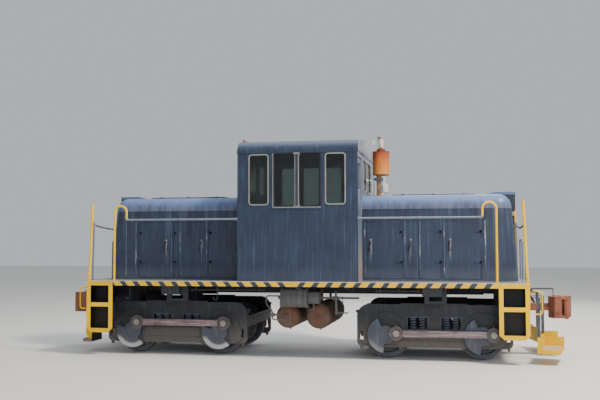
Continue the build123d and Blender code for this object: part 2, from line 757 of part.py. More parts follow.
def cut_lever(end):
    """Uncoupling rod across the end, with a bent handle at each side."""
    x, y, z = half_deck + 70, half_width - lever_setback, lever_z
    out, low = x + lever_throw, z - 390
    points = [(x + 10, -y, low), (out, -y, low), (out, -y, z), (x, -y, z),
              (x, y, z), (out, y, z), (out, y, low), (x + 10, y, low)]
    rod = pipe(points, 13, 45)
    for ly in (-900, 900):
        rod += block(half_deck, x + 10, ly - 8, ly + 8, z - 16, z + 16)
    reach = coupler_front_x - head_length + 90
    rod += block(x - 8, reach, -8, 8, z - 30, z)
    rod += block(reach - 16, reach, -8, 8, coupler_height + head_height / 2, z)
    return turned(rod, end, 1)


# Footboards: end, outer edge's inset from the frame's side, inner Y, depth, skew in degrees
footboard_rows = ((1, 155, 440, 360, 11), (-1, 490, 440, 170, 0))
footboard_x = half_deck + 130


def footboard(inset, inner_y, depth, skew):
    """Tray, back plate and two hangers, for the +X, +Y corner."""
    x0, x1, outer_y = footboard_x, footboard_x + depth, half_width - inset
    tray_low, tray_top, lip_low = rail_top + 200, rail_top + 225, rail_top + 163
    board = block(x0, x1, inner_y, outer_y, tray_low, tray_top)
    board += block(x0, x1, outer_y - 14, outer_y, lip_low, tray_top)
    board += block(x1 - 12, x1, inner_y, outer_y, lip_low, tray_top)
    board += block(x0 - 12, x0 + 2, inner_y, outer_y, lip_low, rail_top + 440)
    board += block(x0, x1, inner_y, inner_y + 12, lip_low, rail_top + 385)
    gusset = Polyline((x0 - 12, rail_top + 210), (x0 + 50, rail_top + 210), (x0 + 110, rail_top + 330),
                      (x0 + 110, rail_top + 440), (x0 - 12, rail_top + 440), close=True)
    board += along_y(gusset, outer_y - 12, outer_y)
    board = Pos(x0, outer_y, 0) * Rot(0, 0, skew) * Pos(-x0, -outer_y, 0) * board
    for y in (outer_y - 60, inner_y + 120):
        x = x0 + (outer_y - y) * sin(radians(skew)) - 20
        board += block(x, x + 55, y, y + 12, rail_top + 400, rail_top + 1110)
        board += block(half_deck, x + 55, y - 10, y + 12, rail_top + 1098, rail_top + 1110)
    return board


def footboards():
    return [turned(footboard(*row[1:]), row[0], side) for row in footboard_rows for side in sides]


# Railings

def leaning_post(y, foot_x, lean, top, radius):
    """Post standing on a foot plate, leaning towards the cab."""
    low = deck_top + 8
    post = bar((foot_x, y, low), (foot_x - lean, y, top), radius)
    return post + block(foot_x - 30, foot_x + 30, y - 30, y + 30, deck_top, deck_top + 12)


def yellow_rails():
    rails = []
    for end in ends:
        for side in sides:
            bend = (grab_outer_x - grab_inner_x) / 2 - 1
            hook = pipe([(grab_outer_x, grab_y, deck_top), (grab_outer_x, grab_y, grab_top - grab_radius),
                         (grab_inner_x, grab_y, grab_top - grab_radius),
                         (grab_inner_x, grab_y, handrail_z + handrail_radius)], grab_radius, bend)
            post = leaning_post(grab_y, post_foot_x, post_lean, post_top, post_radius)
            rails += [turned(hook, end, side), turned(post, end, side)]
    return rails


def handrails():
    rails = []
    for end in ends:
        for side in sides:
            z = handrail_z
            rail = bar((half_cab, grab_y, z), (grab_inner_x + 14, grab_y, z), handrail_radius)
            rail += block(half_cab, half_cab + 12, cab_side_y - 60, cab_side_y, z - 34, z + 34)
            post = leaning_post(chain_y, half_deck - 45, 20, rail_top + 2460, 16)
            eye = block(chain_x - 20, chain_x + 10, chain_y - 26, chain_y + 8, chain_z - 14, chain_z + 14)
            rails += [turned(rail, end, side), turned(post + eye, end, side)]
        hoop = pipe([(half_deck - 45, -330, deck_top), (half_deck - 45, -330, hoop_top),
                     (half_deck - 45, 330, hoop_top), (half_deck - 45, 330, deck_top)], 16, 60)
        rails.append(turned(hoop, end, 1))
    return rails


def end_chains():
    chains = []
    for end in ends:
        reach = chain_y - 26
        arc = ThreePointArc((chain_x, -chain_y, chain_z + 5), (chain_x, 0, chain_z - chain_sag),
                            (chain_x, chain_y, chain_z + 5))
        chain = sweep(Plane(origin=arc @ 0, z_dir=arc % 0) * Circle(8), path=arc)
        chain &= block(chain_x - 20, chain_x + 20, -reach, reach, chain_z - 200, chain_z + 100)
        chains.append(turned(chain, end, 1))
    return chains


# Fittings

def exhaust(x):
    base = x - 42
    pipe_low = bar((base, 0, hood_top), (base, 0, rail_top + 3380), 49)
    collar = bar((base, 0, hood_top), (base, 0, hood_top + 14), 92)
    clamp = bar((base, 0, rail_top + 3255), (base, 0, rail_top + 3300), 82)
    muffler = bar((x, 0, rail_top + 3357), (x, 0, rail_top + 3809), 160)
    flange = bar((x, 0, rail_top + 3809), (x, 0, rail_top + 3855), 82)
    tail = bar((x, 0, rail_top + 3850), (x, 0, rail_top + 4092), 47)
    flap = Pos(x - 12, 0, rail_top + 4103) * Rot(0, 9, 0) * Cylinder(64, 10)
    hinge = block(x - 66, x - 40, -18, 18, rail_top + 4040, rail_top + 4112)
    arm = block(x - 128, x - 44, -9, 9, rail_top + 4028, rail_top + 4046)
    weight = block(x - 168, x - 112, -22, 22, rail_top + 3950, rail_top + 4040)
    return pipe_low + [collar, clamp, muffler, flange, tail, flap, hinge, arm, weight]


def bell(x, y):
    z = hood_top
    profile = Polyline((0, 72), (83, 72), (88, 84), (80, 120), (75, 185), (62, 230), (30, 250), (0, 254),
                       close=True)
    cup = revolve(Plane.XZ * make_face(profile), axis=Axis.Z)
    cup = Pos(x, y, z) * cup
    yoke = [block(x - 10, x + 10, y + side * 96, y + side * 108, z, z + 350) for side in sides]
    feet = [block(x - 30, x + 30, y + side * 90, y + side * 140, z, z + 8) for side in sides]
    top = block(x - 10, x + 10, y - 108, y + 108, z + 338, z + 350)
    hang = bar((x, y, z + 245), (x, y, z + 344), 15)
    return cup + (yoke + feet + [top, hang])


def hatches(end):
    """Raised roof hatch of one hood."""
    lid = block(end * (half_cab + 540), end * (hood_foot_x - 770), -350, 350, hood_top, hood_top + 32)
    rim = [edge for edge in lid.edges() if box_of(edge).min.Z > hood_top + 31]
    return chamfer(rim, 8)


def headlight():
    """Lamp housing on the nose's brow, under a long visor plate."""
    x0, x1 = hood_foot_x - 660, hood_foot_x - lamp_setback
    top, low, half = hood_top + lamp_rise, hood_top - 300, lamp_half_width
    outline = Polyline((x0, hood_top - 8), (x1 - 372, hood_top - 30), (x1 - 172, low), (x1 - 14, low),
                       (x1, top - 60), (x1 + 3, top), (x1 - 372, top), (x0, hood_top + 6), close=True)
    z = hood_top - lamp_drop
    mouth = bar((x1 - 120, 0, z), (x1 + 60, 0, z), lamp_radius)
    lens = bar((x1 - 40, 0, z), (x1 - 28, 0, z), lamp_radius - frame_fit)
    return along_y(outline, -half, half) - mouth - hood_form(0), lens


tank_length = 1850
tank_end_radius = 90


def reservoirs():
    tanks = []
    for x, radius, z in ((-274, 220, rail_top + 706), (306, 232, rail_top + 714)):
        tank = Cylinder(radius, tank_length)
        tank = fillet(tank.edges().filter_by(GeomType.CIRCLE), tank_end_radius)
        tank = Pos(x, 0, z) * Rot(90, 0, 0) * tank
        straps = [block(x - 20, x + 20, y - 25, y + 25, z + radius - 20, deck_under) for y in (-500, 500)]
        tanks.append(tank + straps)
    return tanks


def brake_cylinder():
    y = 310 - half_width
    z = rail_top + 1062
    body = bar((-325, y, z), (131, y, z), 178)
    flange = bar((-335, y, z), (-300, y, z), 190)
    head = bar((110, y, z), (150, y, z), 190)
    nose = bar((150, y, z), (369, y, z), 112)
    rod = bar((369, y, z), (1082, y, z), 20)
    clevis = block(600, 700, y - 34, y + 34, z - 34, z + 34)
    hanger = block(-40, 40, y - 90, y + 90, z + 150, cross_bottom)
    return body + [flange, head, nose, rod, clevis, hanger]


def air_pipes():
    pipes = []
    for end in ends:
        x, y, z = half_deck, 330, rail_top + 1060
        run = pipe([(x, y, z), (x + 120, y, z), (x + 190, y, z - 120), (x + 190, y, z - 260)], 22, 50)
        cock = block(x + 40, x + 90, y - 34, y + 34, z - 34, z + 34)
        pipes.append(turned(run + cock, end, end))
    return pipes


def engine(end):
    return block(end * (half_cab + 400), end * (hood_foot_x - 840), -420, 420, deck_top, deck_top + 1050)


def control_stand():
    y = cab_side_y - 800
    desk = block(-300, 300, y - 200, y + 200, deck_top, deck_top + 1050)
    top = block(-340, 340, y - 240, y + 220, deck_top + 1050, deck_top + 1110)
    throttle = bar((120, y - 60, deck_top + 1100), (160, y - 110, deck_top + 1300), 12)
    brake = bar((-140, y - 60, deck_top + 1100), (-60, y - 120, deck_top + 1260), 12)
    return desk + [top, throttle, brake]


def seat():
    y = 620 - cab_side_y
    base = bar((0, y, deck_top), (0, y, deck_top + 620), 45)
    pad = block(-230, 230, y - 230, y + 230, deck_top + 610, deck_top + 700)
    back = block(-230, 230, y - 230, y - 160, deck_top + 700, deck_top + 1120)
    return base + [pad, back]


def build():
    os.makedirs("parts", exist_ok=True)
    save("underframe", underframe())
    save("deck", deck())
    step = corner_step()
    save("corner_steps", *[turned(step, end, side) for end in ends for side in sides])
    save("footboards", *footboards())
    side_wall = cab_side()
    save("cab_side_near", turned(side_wall, 1, -1))
    save("cab_side_far", side_wall)
    end_wall = cab_end()
    save("cab_end_right", turned(end_wall, 1, -1))
    save("cab_end_left", turned(end_wall, -1, 1))
    save("cab_roof", cab_roof())
    rings, panes = window_rings()
    save("window_frames", *rings)
    save("window_glass", *panes)
    right_hood = hood()
    save("hood_right", right_hood)
    save("hood_left", turned(right_hood, -1, 1))
    core, posts, slats = radiator()
    grille = slats[0] + slats[1:] + posts + [core]
    save("radiators", *[turned(grille, end, 1) for end in ends])
    for number in range(door_count):
        door = hood_door(number)
        for end, end_name in ((-1, "left"), (1, "right")):
            for side, side_name in ((-1, "near"), (1, "far")):
                save(f"hood_door_{end_name}_{side_name}_{number + 1}", turned(door, end, side))
    door = cab_door()
    save("cab_door_right", turned(door, 1, -1))
    save("cab_door_left", turned(door, -1, 1))
    lamp, lens = headlight()
    save("headlights", *[turned(lamp, end, 1) for end in ends])
    save("headlight_glass", *[turned(lens, end, 1) for end in ends])
    save("exhaust_stacks", exhaust(half_cab + stack_right_gap), exhaust(-half_cab - stack_left_gap))
    save("bell", bell(half_cab + bell_gap, -bell_y))
    save("hood_hatches", *[hatches(end) for end in ends])
    save("yellow_rails", *yellow_rails())
    save("handrails", *handrails())
    save("end_chains", *end_chains())
    save("couplers", *[coupler_head(end) for end in ends])
    save("knuckle_left", knuckle(-1))
    save("knuckle_right", knuckle(1))
    save("cut_levers", *[cut_lever(end) for end in ends])
    save("end_air_pipes", *air_pipes())
    save("reservoirs", *reservoirs())
    save("brake_cylinder", brake_cylinder())
    save("engines", *[engine(end) for end in ends])
    save("control_stand", control_stand())
    save("seat", seat())
    for end, name, angle in ((-1, "left", crank_angle_left), (1, "right", crank_angle_right)):
        x = end * bogie_x
        inner_x, outer_x = x - end * half_base, x + end * half_base
        save(f"bogie_frame_{name}", bogie_frame(x))
        save(f"springs_{name}", *springs(x))
        save(f"motor_{name}", motor(x, -end))
        save(f"wheelset_{name}_inner", wheelset(inner_x, angle))
        save(f"wheelset_{name}_outer", wheelset(outer_x, angle))
        for side, side_name in ((-1, "near"), (1, "far")):
            save(f"side_rod_{name}_{side_name}", side_rod(inner_x, outer_x, angle, side))


build()
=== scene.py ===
import bpy
import bmesh
from math import atan2, cos, pi, radians, sin, sqrt
from mathutils import Matrix, Vector


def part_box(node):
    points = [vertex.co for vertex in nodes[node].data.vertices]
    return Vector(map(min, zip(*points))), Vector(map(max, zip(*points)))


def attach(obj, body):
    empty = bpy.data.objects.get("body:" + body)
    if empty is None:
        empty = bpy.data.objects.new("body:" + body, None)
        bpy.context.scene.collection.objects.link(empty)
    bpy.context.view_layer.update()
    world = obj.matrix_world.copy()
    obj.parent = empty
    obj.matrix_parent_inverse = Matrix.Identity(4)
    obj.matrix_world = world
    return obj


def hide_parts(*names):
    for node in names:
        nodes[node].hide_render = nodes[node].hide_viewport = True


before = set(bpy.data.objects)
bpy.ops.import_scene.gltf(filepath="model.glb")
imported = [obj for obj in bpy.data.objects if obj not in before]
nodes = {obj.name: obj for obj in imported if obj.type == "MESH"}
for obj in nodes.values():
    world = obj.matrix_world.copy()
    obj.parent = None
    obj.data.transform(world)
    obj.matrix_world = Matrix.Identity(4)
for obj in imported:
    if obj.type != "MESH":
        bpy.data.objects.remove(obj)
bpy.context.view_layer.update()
rail = 0.028                          # rail level above the wheel flanges
deckEnd, deckSide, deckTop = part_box("deck")[1]
sillLow = deckTop - 0.095             # lower edge of the striped plate
cabEnd, cabSide = 1.1, 1.38           # half the cab's length and width
hoodSide, hoodTop = 0.75, rail + 2.93
axleHeight = rail + 0.419
bogieX, halfBase = 2.39, 0.845        # a bogie's middle, and half the way between its axles
ends = ((-1, "left"), (1, "right"))
sides = ((-1, "near"), (1, "far"))
print("frame loaded")


def linearColor(code):
    channels = [int(code[i:i + 2], 16) / 255 for i in (1, 3, 5)]
    return [c / 12.92 if c <= 0.04045 else ((c + 0.055) / 1.055) ** 2.4 for c in channels] + [1.0]


# Types values into a node's inputs; sockets and nodes are linked, and sRGB codes become linear colours.
def setInputs(node, values):
    for key, value in values.items():
        if isinstance(value, bpy.types.Node):
            value = value.outputs[2 if value.bl_idname == "ShaderNodeMix" else 0]
        if isinstance(value, bpy.types.NodeSocket):
            node.id_data.links.new(value, node.inputs[key])
        else:
            node.inputs[key].default_value = linearColor(value) if isinstance(value, str) else value


# Adds a shader node, its operation named with its kind: plain values fill its inputs in order, capitalised
# names are inputs, the others settings.
def addNode(tree, kind, *values, **named):
    kind, *operation = kind.split()
    node = tree.nodes.new("ShaderNode" + kind)
    if operation:
        node.operation = operation[0]
    if kind == "Mix":
        node.data_type = "RGBA"
    for name, value in named.items():
        if name.islower():
            setattr(node, name, value)
    setInputs(node, dict(zip((0, 6, 7) if kind == "Mix" else range(9), values)))
    setInputs(node, {name: value for name, value in named.items() if not name.islower()})
    return node


# A new material with its node adder, its shader, and the place on the object in metres.
def newMaterial(name, shaderValues):
    material = bpy.data.materials.new(name)
    material.use_nodes = True
    tree = material.node_tree
    shader = tree.nodes["Principled BSDF"]
    setInputs(shader, shaderValues)

    def add(kind, *values, **named):
        return addNode(tree, kind, *values, **named)

    return material, add, shader, add("TexCoord").outputs["Object"]


# Tones a shader between two colours by a pattern, and its gloss too where a range is given.
def mottle(add, shader, pattern, tones, gloss=None):
    setInputs(shader, {"Base Color": add("Mix", pattern, *tones)})
    if gloss:
        setInputs(shader, {"Roughness": add("MapRange", pattern, 0.0, 1.0, *gloss)})


# Sprayed or brushed enamel on steel that has stood outside for years. The look's numbers are metres and shares:
# streaks bleached by rain, tops toned by how far they face up (weather chalk and dust, and on the blue enamels
# also a painted skylight sheen), dust low down, rust specks, sheet waves.
def weatheredPaint(name, look):
    material, add, shader, place = newMaterial(name, {"IOR": 1.5, "Metallic": 0.0})
    stretched = add("Mapping", place, Scale=look["streakScale"])
    streaks = add("TexNoise", stretched, Scale=1.0, Detail=5.0, Roughness=0.62)
    streakShare = add("MapRange", streaks, look["streakFrom"], look["streakTo"], 0.0, look["streaks"],
        interpolation_type="SMOOTHSTEP")
    blotches = add("TexNoise", place, Scale=look["blotchScale"], Detail=6.0, Roughness=0.6, Distortion=0.4)
    bleached = add("Mix", streakShare, add("Mix", blotches, look["deep"], look["color"]), look["bleach"])
    # upward faces take the top colour: weather chalk and dust, and on the blue enamels also a painted sheen of
    # the sky
    facing = add("SeparateXYZ", add("NewGeometry").outputs["Normal"])
    upward = add("MapRange", facing.outputs[2], 0.25, 0.95, 0.0, look["topShare"],
        interpolation_type="SMOOTHSTEP")
    topToned = add("Mix", upward, bleached, look["topColor"])
    # dust climbs from the lower edge, thicker where the fine noise is high
    height = add("SeparateXYZ", place)
    grain = add("TexNoise", place, Scale=look["grainScale"], Detail=8.0, Roughness=0.7)
    ragged = add("Math MULTIPLY_ADD", grain, look["dustRag"], height.outputs[2])
    dustShare = add("MapRange", ragged, look["dustTop"], look["dustLow"], 0.0, look["dust"],
        interpolation_type="SMOOTHSTEP")
    dusted = add("Mix", dustShare, topToned, look["dustColor"])
    spots = add("TexNoise", place, Scale=look["rustScale"], Detail=7.0, Roughness=0.66)
    rustShare = add("MapRange", spots, look["rustFrom"], look["rustFrom"] + 0.06, 0.0, look["rust"])
    rusted = add("Mix", rustShare, dusted, look["rustColor"])
    setInputs(shader, {"Base Color": rusted})
    dull = add("Math MULTIPLY_ADD", grain, 0.28, look["roughness"] - 0.14)
    setInputs(shader, {"Roughness": add("Math MULTIPLY_ADD", dustShare, 0.35, dull, use_clamp=True)})
    waves = add("TexNoise", place, Scale=look["waveScale"], Detail=1.0)
    wavy = add("Bump", Height=waves, Strength=look["waves"], Distance=0.01)
    rough = add("Bump", Height=grain, Strength=look["grain"], Distance=0.002, Normal=wavy)
    setInputs(shader, {"Normal": rough})
    return material, add, shader, place, rusted


# Dark blue sprayed enamel on 3 mm sheet: rain streaks 15 to 40 mm wide, pale on top with chalk and a painted
# skylight sheen, sheet waves 0.5 m.
bluePaintLook = {"color": "#31405a", "deep": "#111827", "bleach": "#6a7f9f", "topColor": "#7d90b0",
    "topShare": 0.72, "streakScale": (26.0, 26.0, 1.3), "streakFrom": 0.5, "streakTo": 0.8, "streaks": 0.3,
    "blotchScale": 2.2, "grainScale": 45.0, "dust": 0.05, "dustColor": "#737a84", "dustLow": 1.41,
    "dustTop": 1.6, "dustRag": -0.16, "rust": 0.65, "rustFrom": 0.7, "rustScale": 9.0, "rustColor": "#5b3a28",
    "roughness": 0.42, "waves": 0.22, "waveScale": 2.3, "grain": 0.1}
bluePaint = weatheredPaint("bluePaintSprayedEnamel", bluePaintLook)[0]
# the roof's crown is less pale on top; the end walls and their doors are painted pale, standing for the
# sunlight that falls on them, and dusty down to their feet
roofPaint = weatheredPaint("roofPaintDullBlue", dict(bluePaintLook, topColor="#5c6d8c", topShare=0.5))[0]
sunlitEndPaint = weatheredPaint("endPaintPaintedSunlight", dict(bluePaintLook, color="#76808f", deep="#46536a",
    bleach="#b9b7b4", streaks=0.6, dust=0.6, dustColor="#a89c8a", dustLow=1.42, dustTop=2.3))[0]

# The hoods' enamel is pale almost white-blue above their side seam: chalk where the sun reaches, with a painted
# skylight sheen on the shoulder. Rain has dragged that chalk down over the seam in runs 30 to 80 mm wide.
chalkAndSheen = {"seam": rail + 2.669, "color": "#647dab", "least": 0.28, "most": 0.62, "full": 0.9, "runs": 0.2,
    "grime": 0.6, "grimeColor": "#8a8187"}
latchRun = {"first": cabEnd + 0.16, "pitch": 0.714, "last": 3.0, "half": 0.026, "low": rail + 1.66,
    "high": rail + 2.06, "color": "#b9b3b0"}
hoodPaint, add, shader, place, painted = weatheredPaint("hoodPaintChalkedSheenTop", dict(bluePaintLook, dust=0.22))
hoodHeight = add("SeparateXYZ", place)
rainRuns = add("TexNoise", add("Mapping", place, Scale=(9.0, 9.0, 0.7)), Scale=1.0, Detail=6.0, Roughness=0.6)
aboveSeam = add("MapRange", hoodHeight.outputs[2], chalkAndSheen["seam"] - 0.004, chalkAndSheen["seam"] + 0.008)
paleLevel = add("MapRange", rainRuns, 0.36, 0.62, chalkAndSheen["least"], chalkAndSheen["most"])
higher = add("MapRange", hoodHeight.outputs[2], chalkAndSheen["seam"] + 0.04, chalkAndSheen["seam"] + 0.2, 0.0,
    chalkAndSheen["full"] - chalkAndSheen["most"])
# above the seam the pale tone is chalk and painted skylight sheen together, rising towards the top
shoulderChalkAndSheen = add("Math MULTIPLY", aboveSeam, add("Math ADD", paleLevel, higher))
reachDown = add("MapRange", hoodHeight.outputs[2], chalkAndSheen["seam"] - 0.75, chalkAndSheen["seam"], 0.0, chalkAndSheen["runs"])
runs = add("Math MULTIPLY", reachDown, add("MapRange", rainRuns, 0.54, 0.66))
chalkAndSheenShare = add("Math MAXIMUM", shoulderChalkAndSheen, runs)
grimeShare = add("MapRange", hoodHeight.outputs[2], chalkAndSheen["seam"] + 0.13, chalkAndSheen["seam"], 0.0, chalkAndSheen["grime"])
chalkedAndSheened = add("Mix", chalkAndSheenShare, painted, add("Mix", grimeShare, chalkAndSheen["color"], chalkAndSheen["grimeColor"]))
# the latches' drop handles have scraped a pale run below each of them, 25 mm wide
fromCab = add("Math ABSOLUTE", hoodHeight.outputs[0])
byLatch = add("Math WRAP", add("Math SUBTRACT", fromCab, latchRun["first"]), latchRun["pitch"] / 2,
    -latchRun["pitch"] / 2)
offLatch = add("Math DIVIDE", add("Math ABSOLUTE", byLatch), latchRun["half"])
scratches = add("TexNoise", add("Mapping", place, Scale=(90.0, 90.0, 7.0)), Scale=1.0, Detail=6.0,
    Roughness=0.7)
nearLatch = add("MapRange", offLatch, 1.0, 0.35)
nearLatch = add("Math MULTIPLY", nearLatch, add("Math LESS_THAN", fromCab, latchRun["last"]))
underLatch = add("MapRange", hoodHeight.outputs[2], latchRun["low"], latchRun["high"])
belowKnob = add("Math LESS_THAN", hoodHeight.outputs[2], latchRun["high"] + 0.02)
scraped = add("Math MULTIPLY", add("Math MULTIPLY", nearLatch, underLatch), belowKnob)
scrapeShare = add("Math MULTIPLY", scraped, add("MapRange", scratches, 0.44, 0.6, 0.0, 0.8))
setInputs(shader, {"Base Color": add("Mix", scrapeShare, chalkedAndSheened, latchRun["color"])})

# The lamp housings: chalk and painted skylight sheen on the visor as on the hood tops; below the visor line the
# cheeks and mouth are near-black.
lampPaint, add, shader, place, painted = weatheredPaint("lampPaintBlackCheeks", bluePaintLook)
lampHeight = add("MapRange", add("SeparateXYZ", place).outputs[2], hoodTop + 0.01, hoodTop + 0.016)
belowVisorDark = add("Mix", add("TexNoise", place, Scale=18.0, Detail=7.0, Roughness=0.7), "#0e1014", "#2c323c")
visorChalkAndSheen = add("Mix", chalkAndSheen["most"], painted, chalkAndSheen["color"])
setInputs(shader, {"Base Color": add("Mix", lampHeight, belowVisorDark, visorChalkAndSheen)})

# Black brushed enamel on thick plate and castings, grey with road dust up to the axles.
blackPaintLook = {"color": "#272b33", "deep": "#15171c", "bleach": "#48515e", "topColor": "#66635f",
    "topShare": 0.7, "streakScale": (11.0, 11.0, 1.6), "streakFrom": 0.5, "streakTo": 0.8, "streaks": 0.5,
    "blotchScale": 5.0, "grainScale": 60.0, "dust": 0.62, "dustColor": "#6f6a62", "dustLow": 0.18,
    "dustTop": 0.7, "dustRag": -0.25, "rust": 0.5, "rustFrom": 0.6, "rustScale": 12.0, "rustColor": "#54382a",
    "roughness": 0.62, "waves": 0.15, "waveScale": 5.0, "grain": 0.3}
blackPaint = weatheredPaint("blackPaintBrushedEnamel", blackPaintLook)[0]

# The same enamel under road dust on the brake gear, dulled to a warm mid grey.
dustyPaint = weatheredPaint("dustyPaintBrakeGear", dict(blackPaintLook, color="#565759", deep="#3b3b3c",
    bleach="#77777a", topColor="#8a857c", dust=0.5, dustLow=0.6, dustTop=1.1))[0]

# Springs and guides: the same enamel, greyed and rubbed by their own movement.
springPaint = weatheredPaint("springPaintRubbed", dict(blackPaintLook, color="#4f5867", deep="#333a46",
    bleach="#6d7685", dust=0.12))[0]

# Safety yellow brushed enamel on bar and pipe: thick, uneven, chipped to dark primer and grimed by boots and
# hands.
yellowPaintLook = {"color": "#ffd800", "deep": "#f2b000", "bleach": "#ffe600", "topColor": "#f4c838",
    "topShare": 0.25, "streakScale": (14.0, 14.0, 2.0), "streakFrom": 0.5, "streakTo": 0.8, "streaks": 0.35,
    "blotchScale": 6.0, "grainScale": 70.0, "dust": 0.22, "dustColor": "#8f6c18", "dustLow": 0.2,
    "dustTop": 0.6, "dustRag": -0.2, "rust": 0.9, "rustFrom": 0.66, "rustScale": 22.0, "rustColor": "#4a3a2a",
    "roughness": 0.46, "waves": 0.12, "waveScale": 7.0, "grain": 0.22}
yellowPaint, add, shader, place, painted = weatheredPaint("yellowPaintBrushedEnamel", yellowPaintLook)
setInputs(shader, {"Specular IOR Level": 0.3})

# The same yellow only where hands and boots look for it: above a height, or inboard, the steel is black.
def partYellow(name, direction, start, stop):
    material, add, shader, place, painted = weatheredPaint(name, yellowPaintLook)
    setInputs(shader, {"Specular IOR Level": 0.3})
    where = add("Math ABSOLUTE", add("SeparateXYZ", place).outputs[direction])
    worn = add("TexNoise", place, Scale=24.0, Detail=8.0, Roughness=0.7)
    mixed = add("Mix", add("MapRange", where, start, stop), painted, add("Mix", worn, "#22252b", "#6a6d72"))
    setInputs(shader, {"Base Color": mixed})
    return material, add, shader, place, mixed


# on the left footboards the inward faces are painted near-black as the shade under the step, and the tray is
# dusty
boardPaint, add, shader, place, below = partYellow("boardPaintYellowBelow", 2, rail + 0.435, rail + 0.445)
axes = add("SeparateXYZ", place)
leftEnd = add("Math LESS_THAN", axes.outputs[0], 0.0)
inward = add("Math GREATER_THAN", add("SeparateXYZ", add("NewGeometry").outputs["Normal"]).outputs[0], 0.5)
onTray = add("Math LESS_THAN", axes.outputs[2], rail + 0.236)
muddy = add("TexNoise", place, Scale=20.0, Detail=6.0)
for share, tones in ((onTray, ("#6a5648", "#a08a76")), (inward, ("#101113", "#2b2927"))):
    below = add("Mix", add("Math MULTIPLY", leftEnd, share), below, add("Mix", muddy, *tones))
setInputs(shader, {"Base Color": below})
leverPaint = partYellow("leverPaintYellowHandles", 1, 1.16, 1.12)[0]

# Grey oil paint on handrail pipe, rubbed smooth and bright by gloves.
greyPaintLook = dict(blackPaintLook, color="#7f899b", deep="#5b6373", bleach="#9fa8b8", topColor="#919bab",
    dust=0.1, rustFrom=0.68, roughness=0.5, rustColor="#6a4a36")
greyPaint = weatheredPaint("greyPaintHandrail", greyPaintLook)[0]

# Steel drum plate without paint: brown rust with darker scale and dust on top.
rustSteelLook = dict(blackPaintLook, color="#6a5547", deep="#43352d", bleach="#8d7862", topColor="#8a7c6c",
    topShare=0.55, dust=0.3, dustColor="#85786a", rust=0.75, rustFrom=0.52, rustScale=7.0, rustColor="#6e4128",
    roughness=0.8, grain=0.5)
rustSteel = weatheredPaint("rustSteelPlate", rustSteelLook)[0]

# Machined rod steel, brown-red flash rust over a grey sheen, rubbed light along the middle.
rodSteelLook = dict(blackPaintLook, color="#8a7779", deep="#5e5053", bleach="#bdb2b4", topColor="#b5acab",
    topShare=0.5, dust=0.15, streakScale=(2.0, 9.0, 30.0), streakFrom=0.42, streakTo=0.75, streaks=0.7, rust=0.6,
    rustFrom=0.54, rustScale=6.0, rustColor="#7a5048", roughness=0.5, grain=0.3)
rodSteel, add, shader, place, painted = weatheredPaint("rodSteelMachined", rodSteelLook)
setInputs(shader, {"Metallic": 0.35})

# Olive grey-green brushed enamel of cab and engine room, worn by hands and boots.
cabPaintLook = dict(blackPaintLook, color="#5d6b5c", deep="#4a564a", bleach="#7c8877", topColor="#8a9183",
    topShare=0.3, dust=0.45, dustColor="#6b6455", dustLow=1.4, dustTop=1.62, rust=0.6, rustFrom=0.7,
    roughness=0.5, grain=0.15)
cabPaint = weatheredPaint("cabPaintGreenEnamel", cabPaintLook)[0]

enginePaintLook = dict(cabPaintLook, color="#6d7377", deep="#3f4447", bleach="#868b8d", topColor="#4a4a48",
    rust=0.8, rustFrom=0.58, rustColor="#2a2320", roughness=0.38)
enginePaint = weatheredPaint("enginePaintOilyGrey", enginePaintLook)[0]

# Bell bronze under aluminium paint, chalky with brown runs below the lip.
silverPaintLook = dict(greyPaintLook, color="#d3d6d6", deep="#a9aeb0", bleach="#eceeee", topColor="#e2e4e3",
    rustFrom=0.66, rustScale=16.0, roughness=0.45)
silverPaint = weatheredPaint("silverPaintBell", silverPaintLook)[0]

# Cast steel couplers, never painted: even brown-red rust, paler and pinker where it is knocked.
castRustLook = dict(rustSteelLook, color="#a3674f", deep="#70412f", bleach="#c38b72", topColor="#b5836a",
    rustFrom=0.56, rustColor="#5a3226", streaks=0.6)
castRust = weatheredPaint("castRustCouplers", castRustLook)[0]
print("paints ready")

# The frame's plate wears the hazard stripes: black and yellow, 250 mm apart, leaning out from a wide
# yellow middle, brushed on by hand with soft ends; the step bays are plain yellow and the top is worn tread.
stripes = {"period": 0.25, "yellowShare": 0.58, "lean": 0.78, "middle": -0.1, "middleHalf": 0.11,
    "plainFrom": 3.508}
sillPaint, add, shader, place, painted = weatheredPaint("sillPaintHazardStripes", dict(bluePaintLook,
    topColor="#7d8187", topShare=0.85, dust=0.0))
axes = add("SeparateXYZ", place)
wobble = add("TexNoise", place, Scale=14.0, Detail=2.0)
away = add("Math ABSOLUTE", add("Math SUBTRACT", axes.outputs[0], stripes["middle"]))
rise = add("Math SUBTRACT", axes.outputs[2], sillLow)
shaky = add("Math MULTIPLY_ADD", wobble, 0.018, add("Math MULTIPLY_ADD", rise, -stripes["lean"], away))
turns = add("Math DIVIDE", add("Math SUBTRACT", shaky, stripes["middleHalf"]
    - stripes["period"] * stripes["yellowShare"]), stripes["period"])
inStripe = add("Math LESS_THAN", add("Math FRACT", turns), stripes["yellowShare"])
inMiddle = add("Math LESS_THAN", shaky, stripes["middleHalf"])
inBay = add("Math GREATER_THAN", add("Math ABSOLUTE", axes.outputs[0]), stripes["plainFrom"])
yellowHere = add("Math MAXIMUM", inStripe, inMiddle)
yellowHere = add("Math MAXIMUM", yellowHere, inBay)
outward = add("SeparateXYZ", add("NewGeometry").outputs["Normal"])
onSide = add("Math GREATER_THAN", add("Math ABSOLUTE", outward.outputs[1]), 0.7)
outermost = add("Math GREATER_THAN", add("Math ABSOLUTE", axes.outputs[1]), deckSide - 0.004)
striped = add("Math MULTIPLY", onSide, outermost)
wornOff = add("TexNoise", place, Scale=26.0, Detail=9.0, Roughness=0.72)
kept = add("MapRange", wornOff, 0.66, 0.6, 0.25, 0.96)
yellowTone = add("Mix", wobble, "#dca400", "#ffd200")
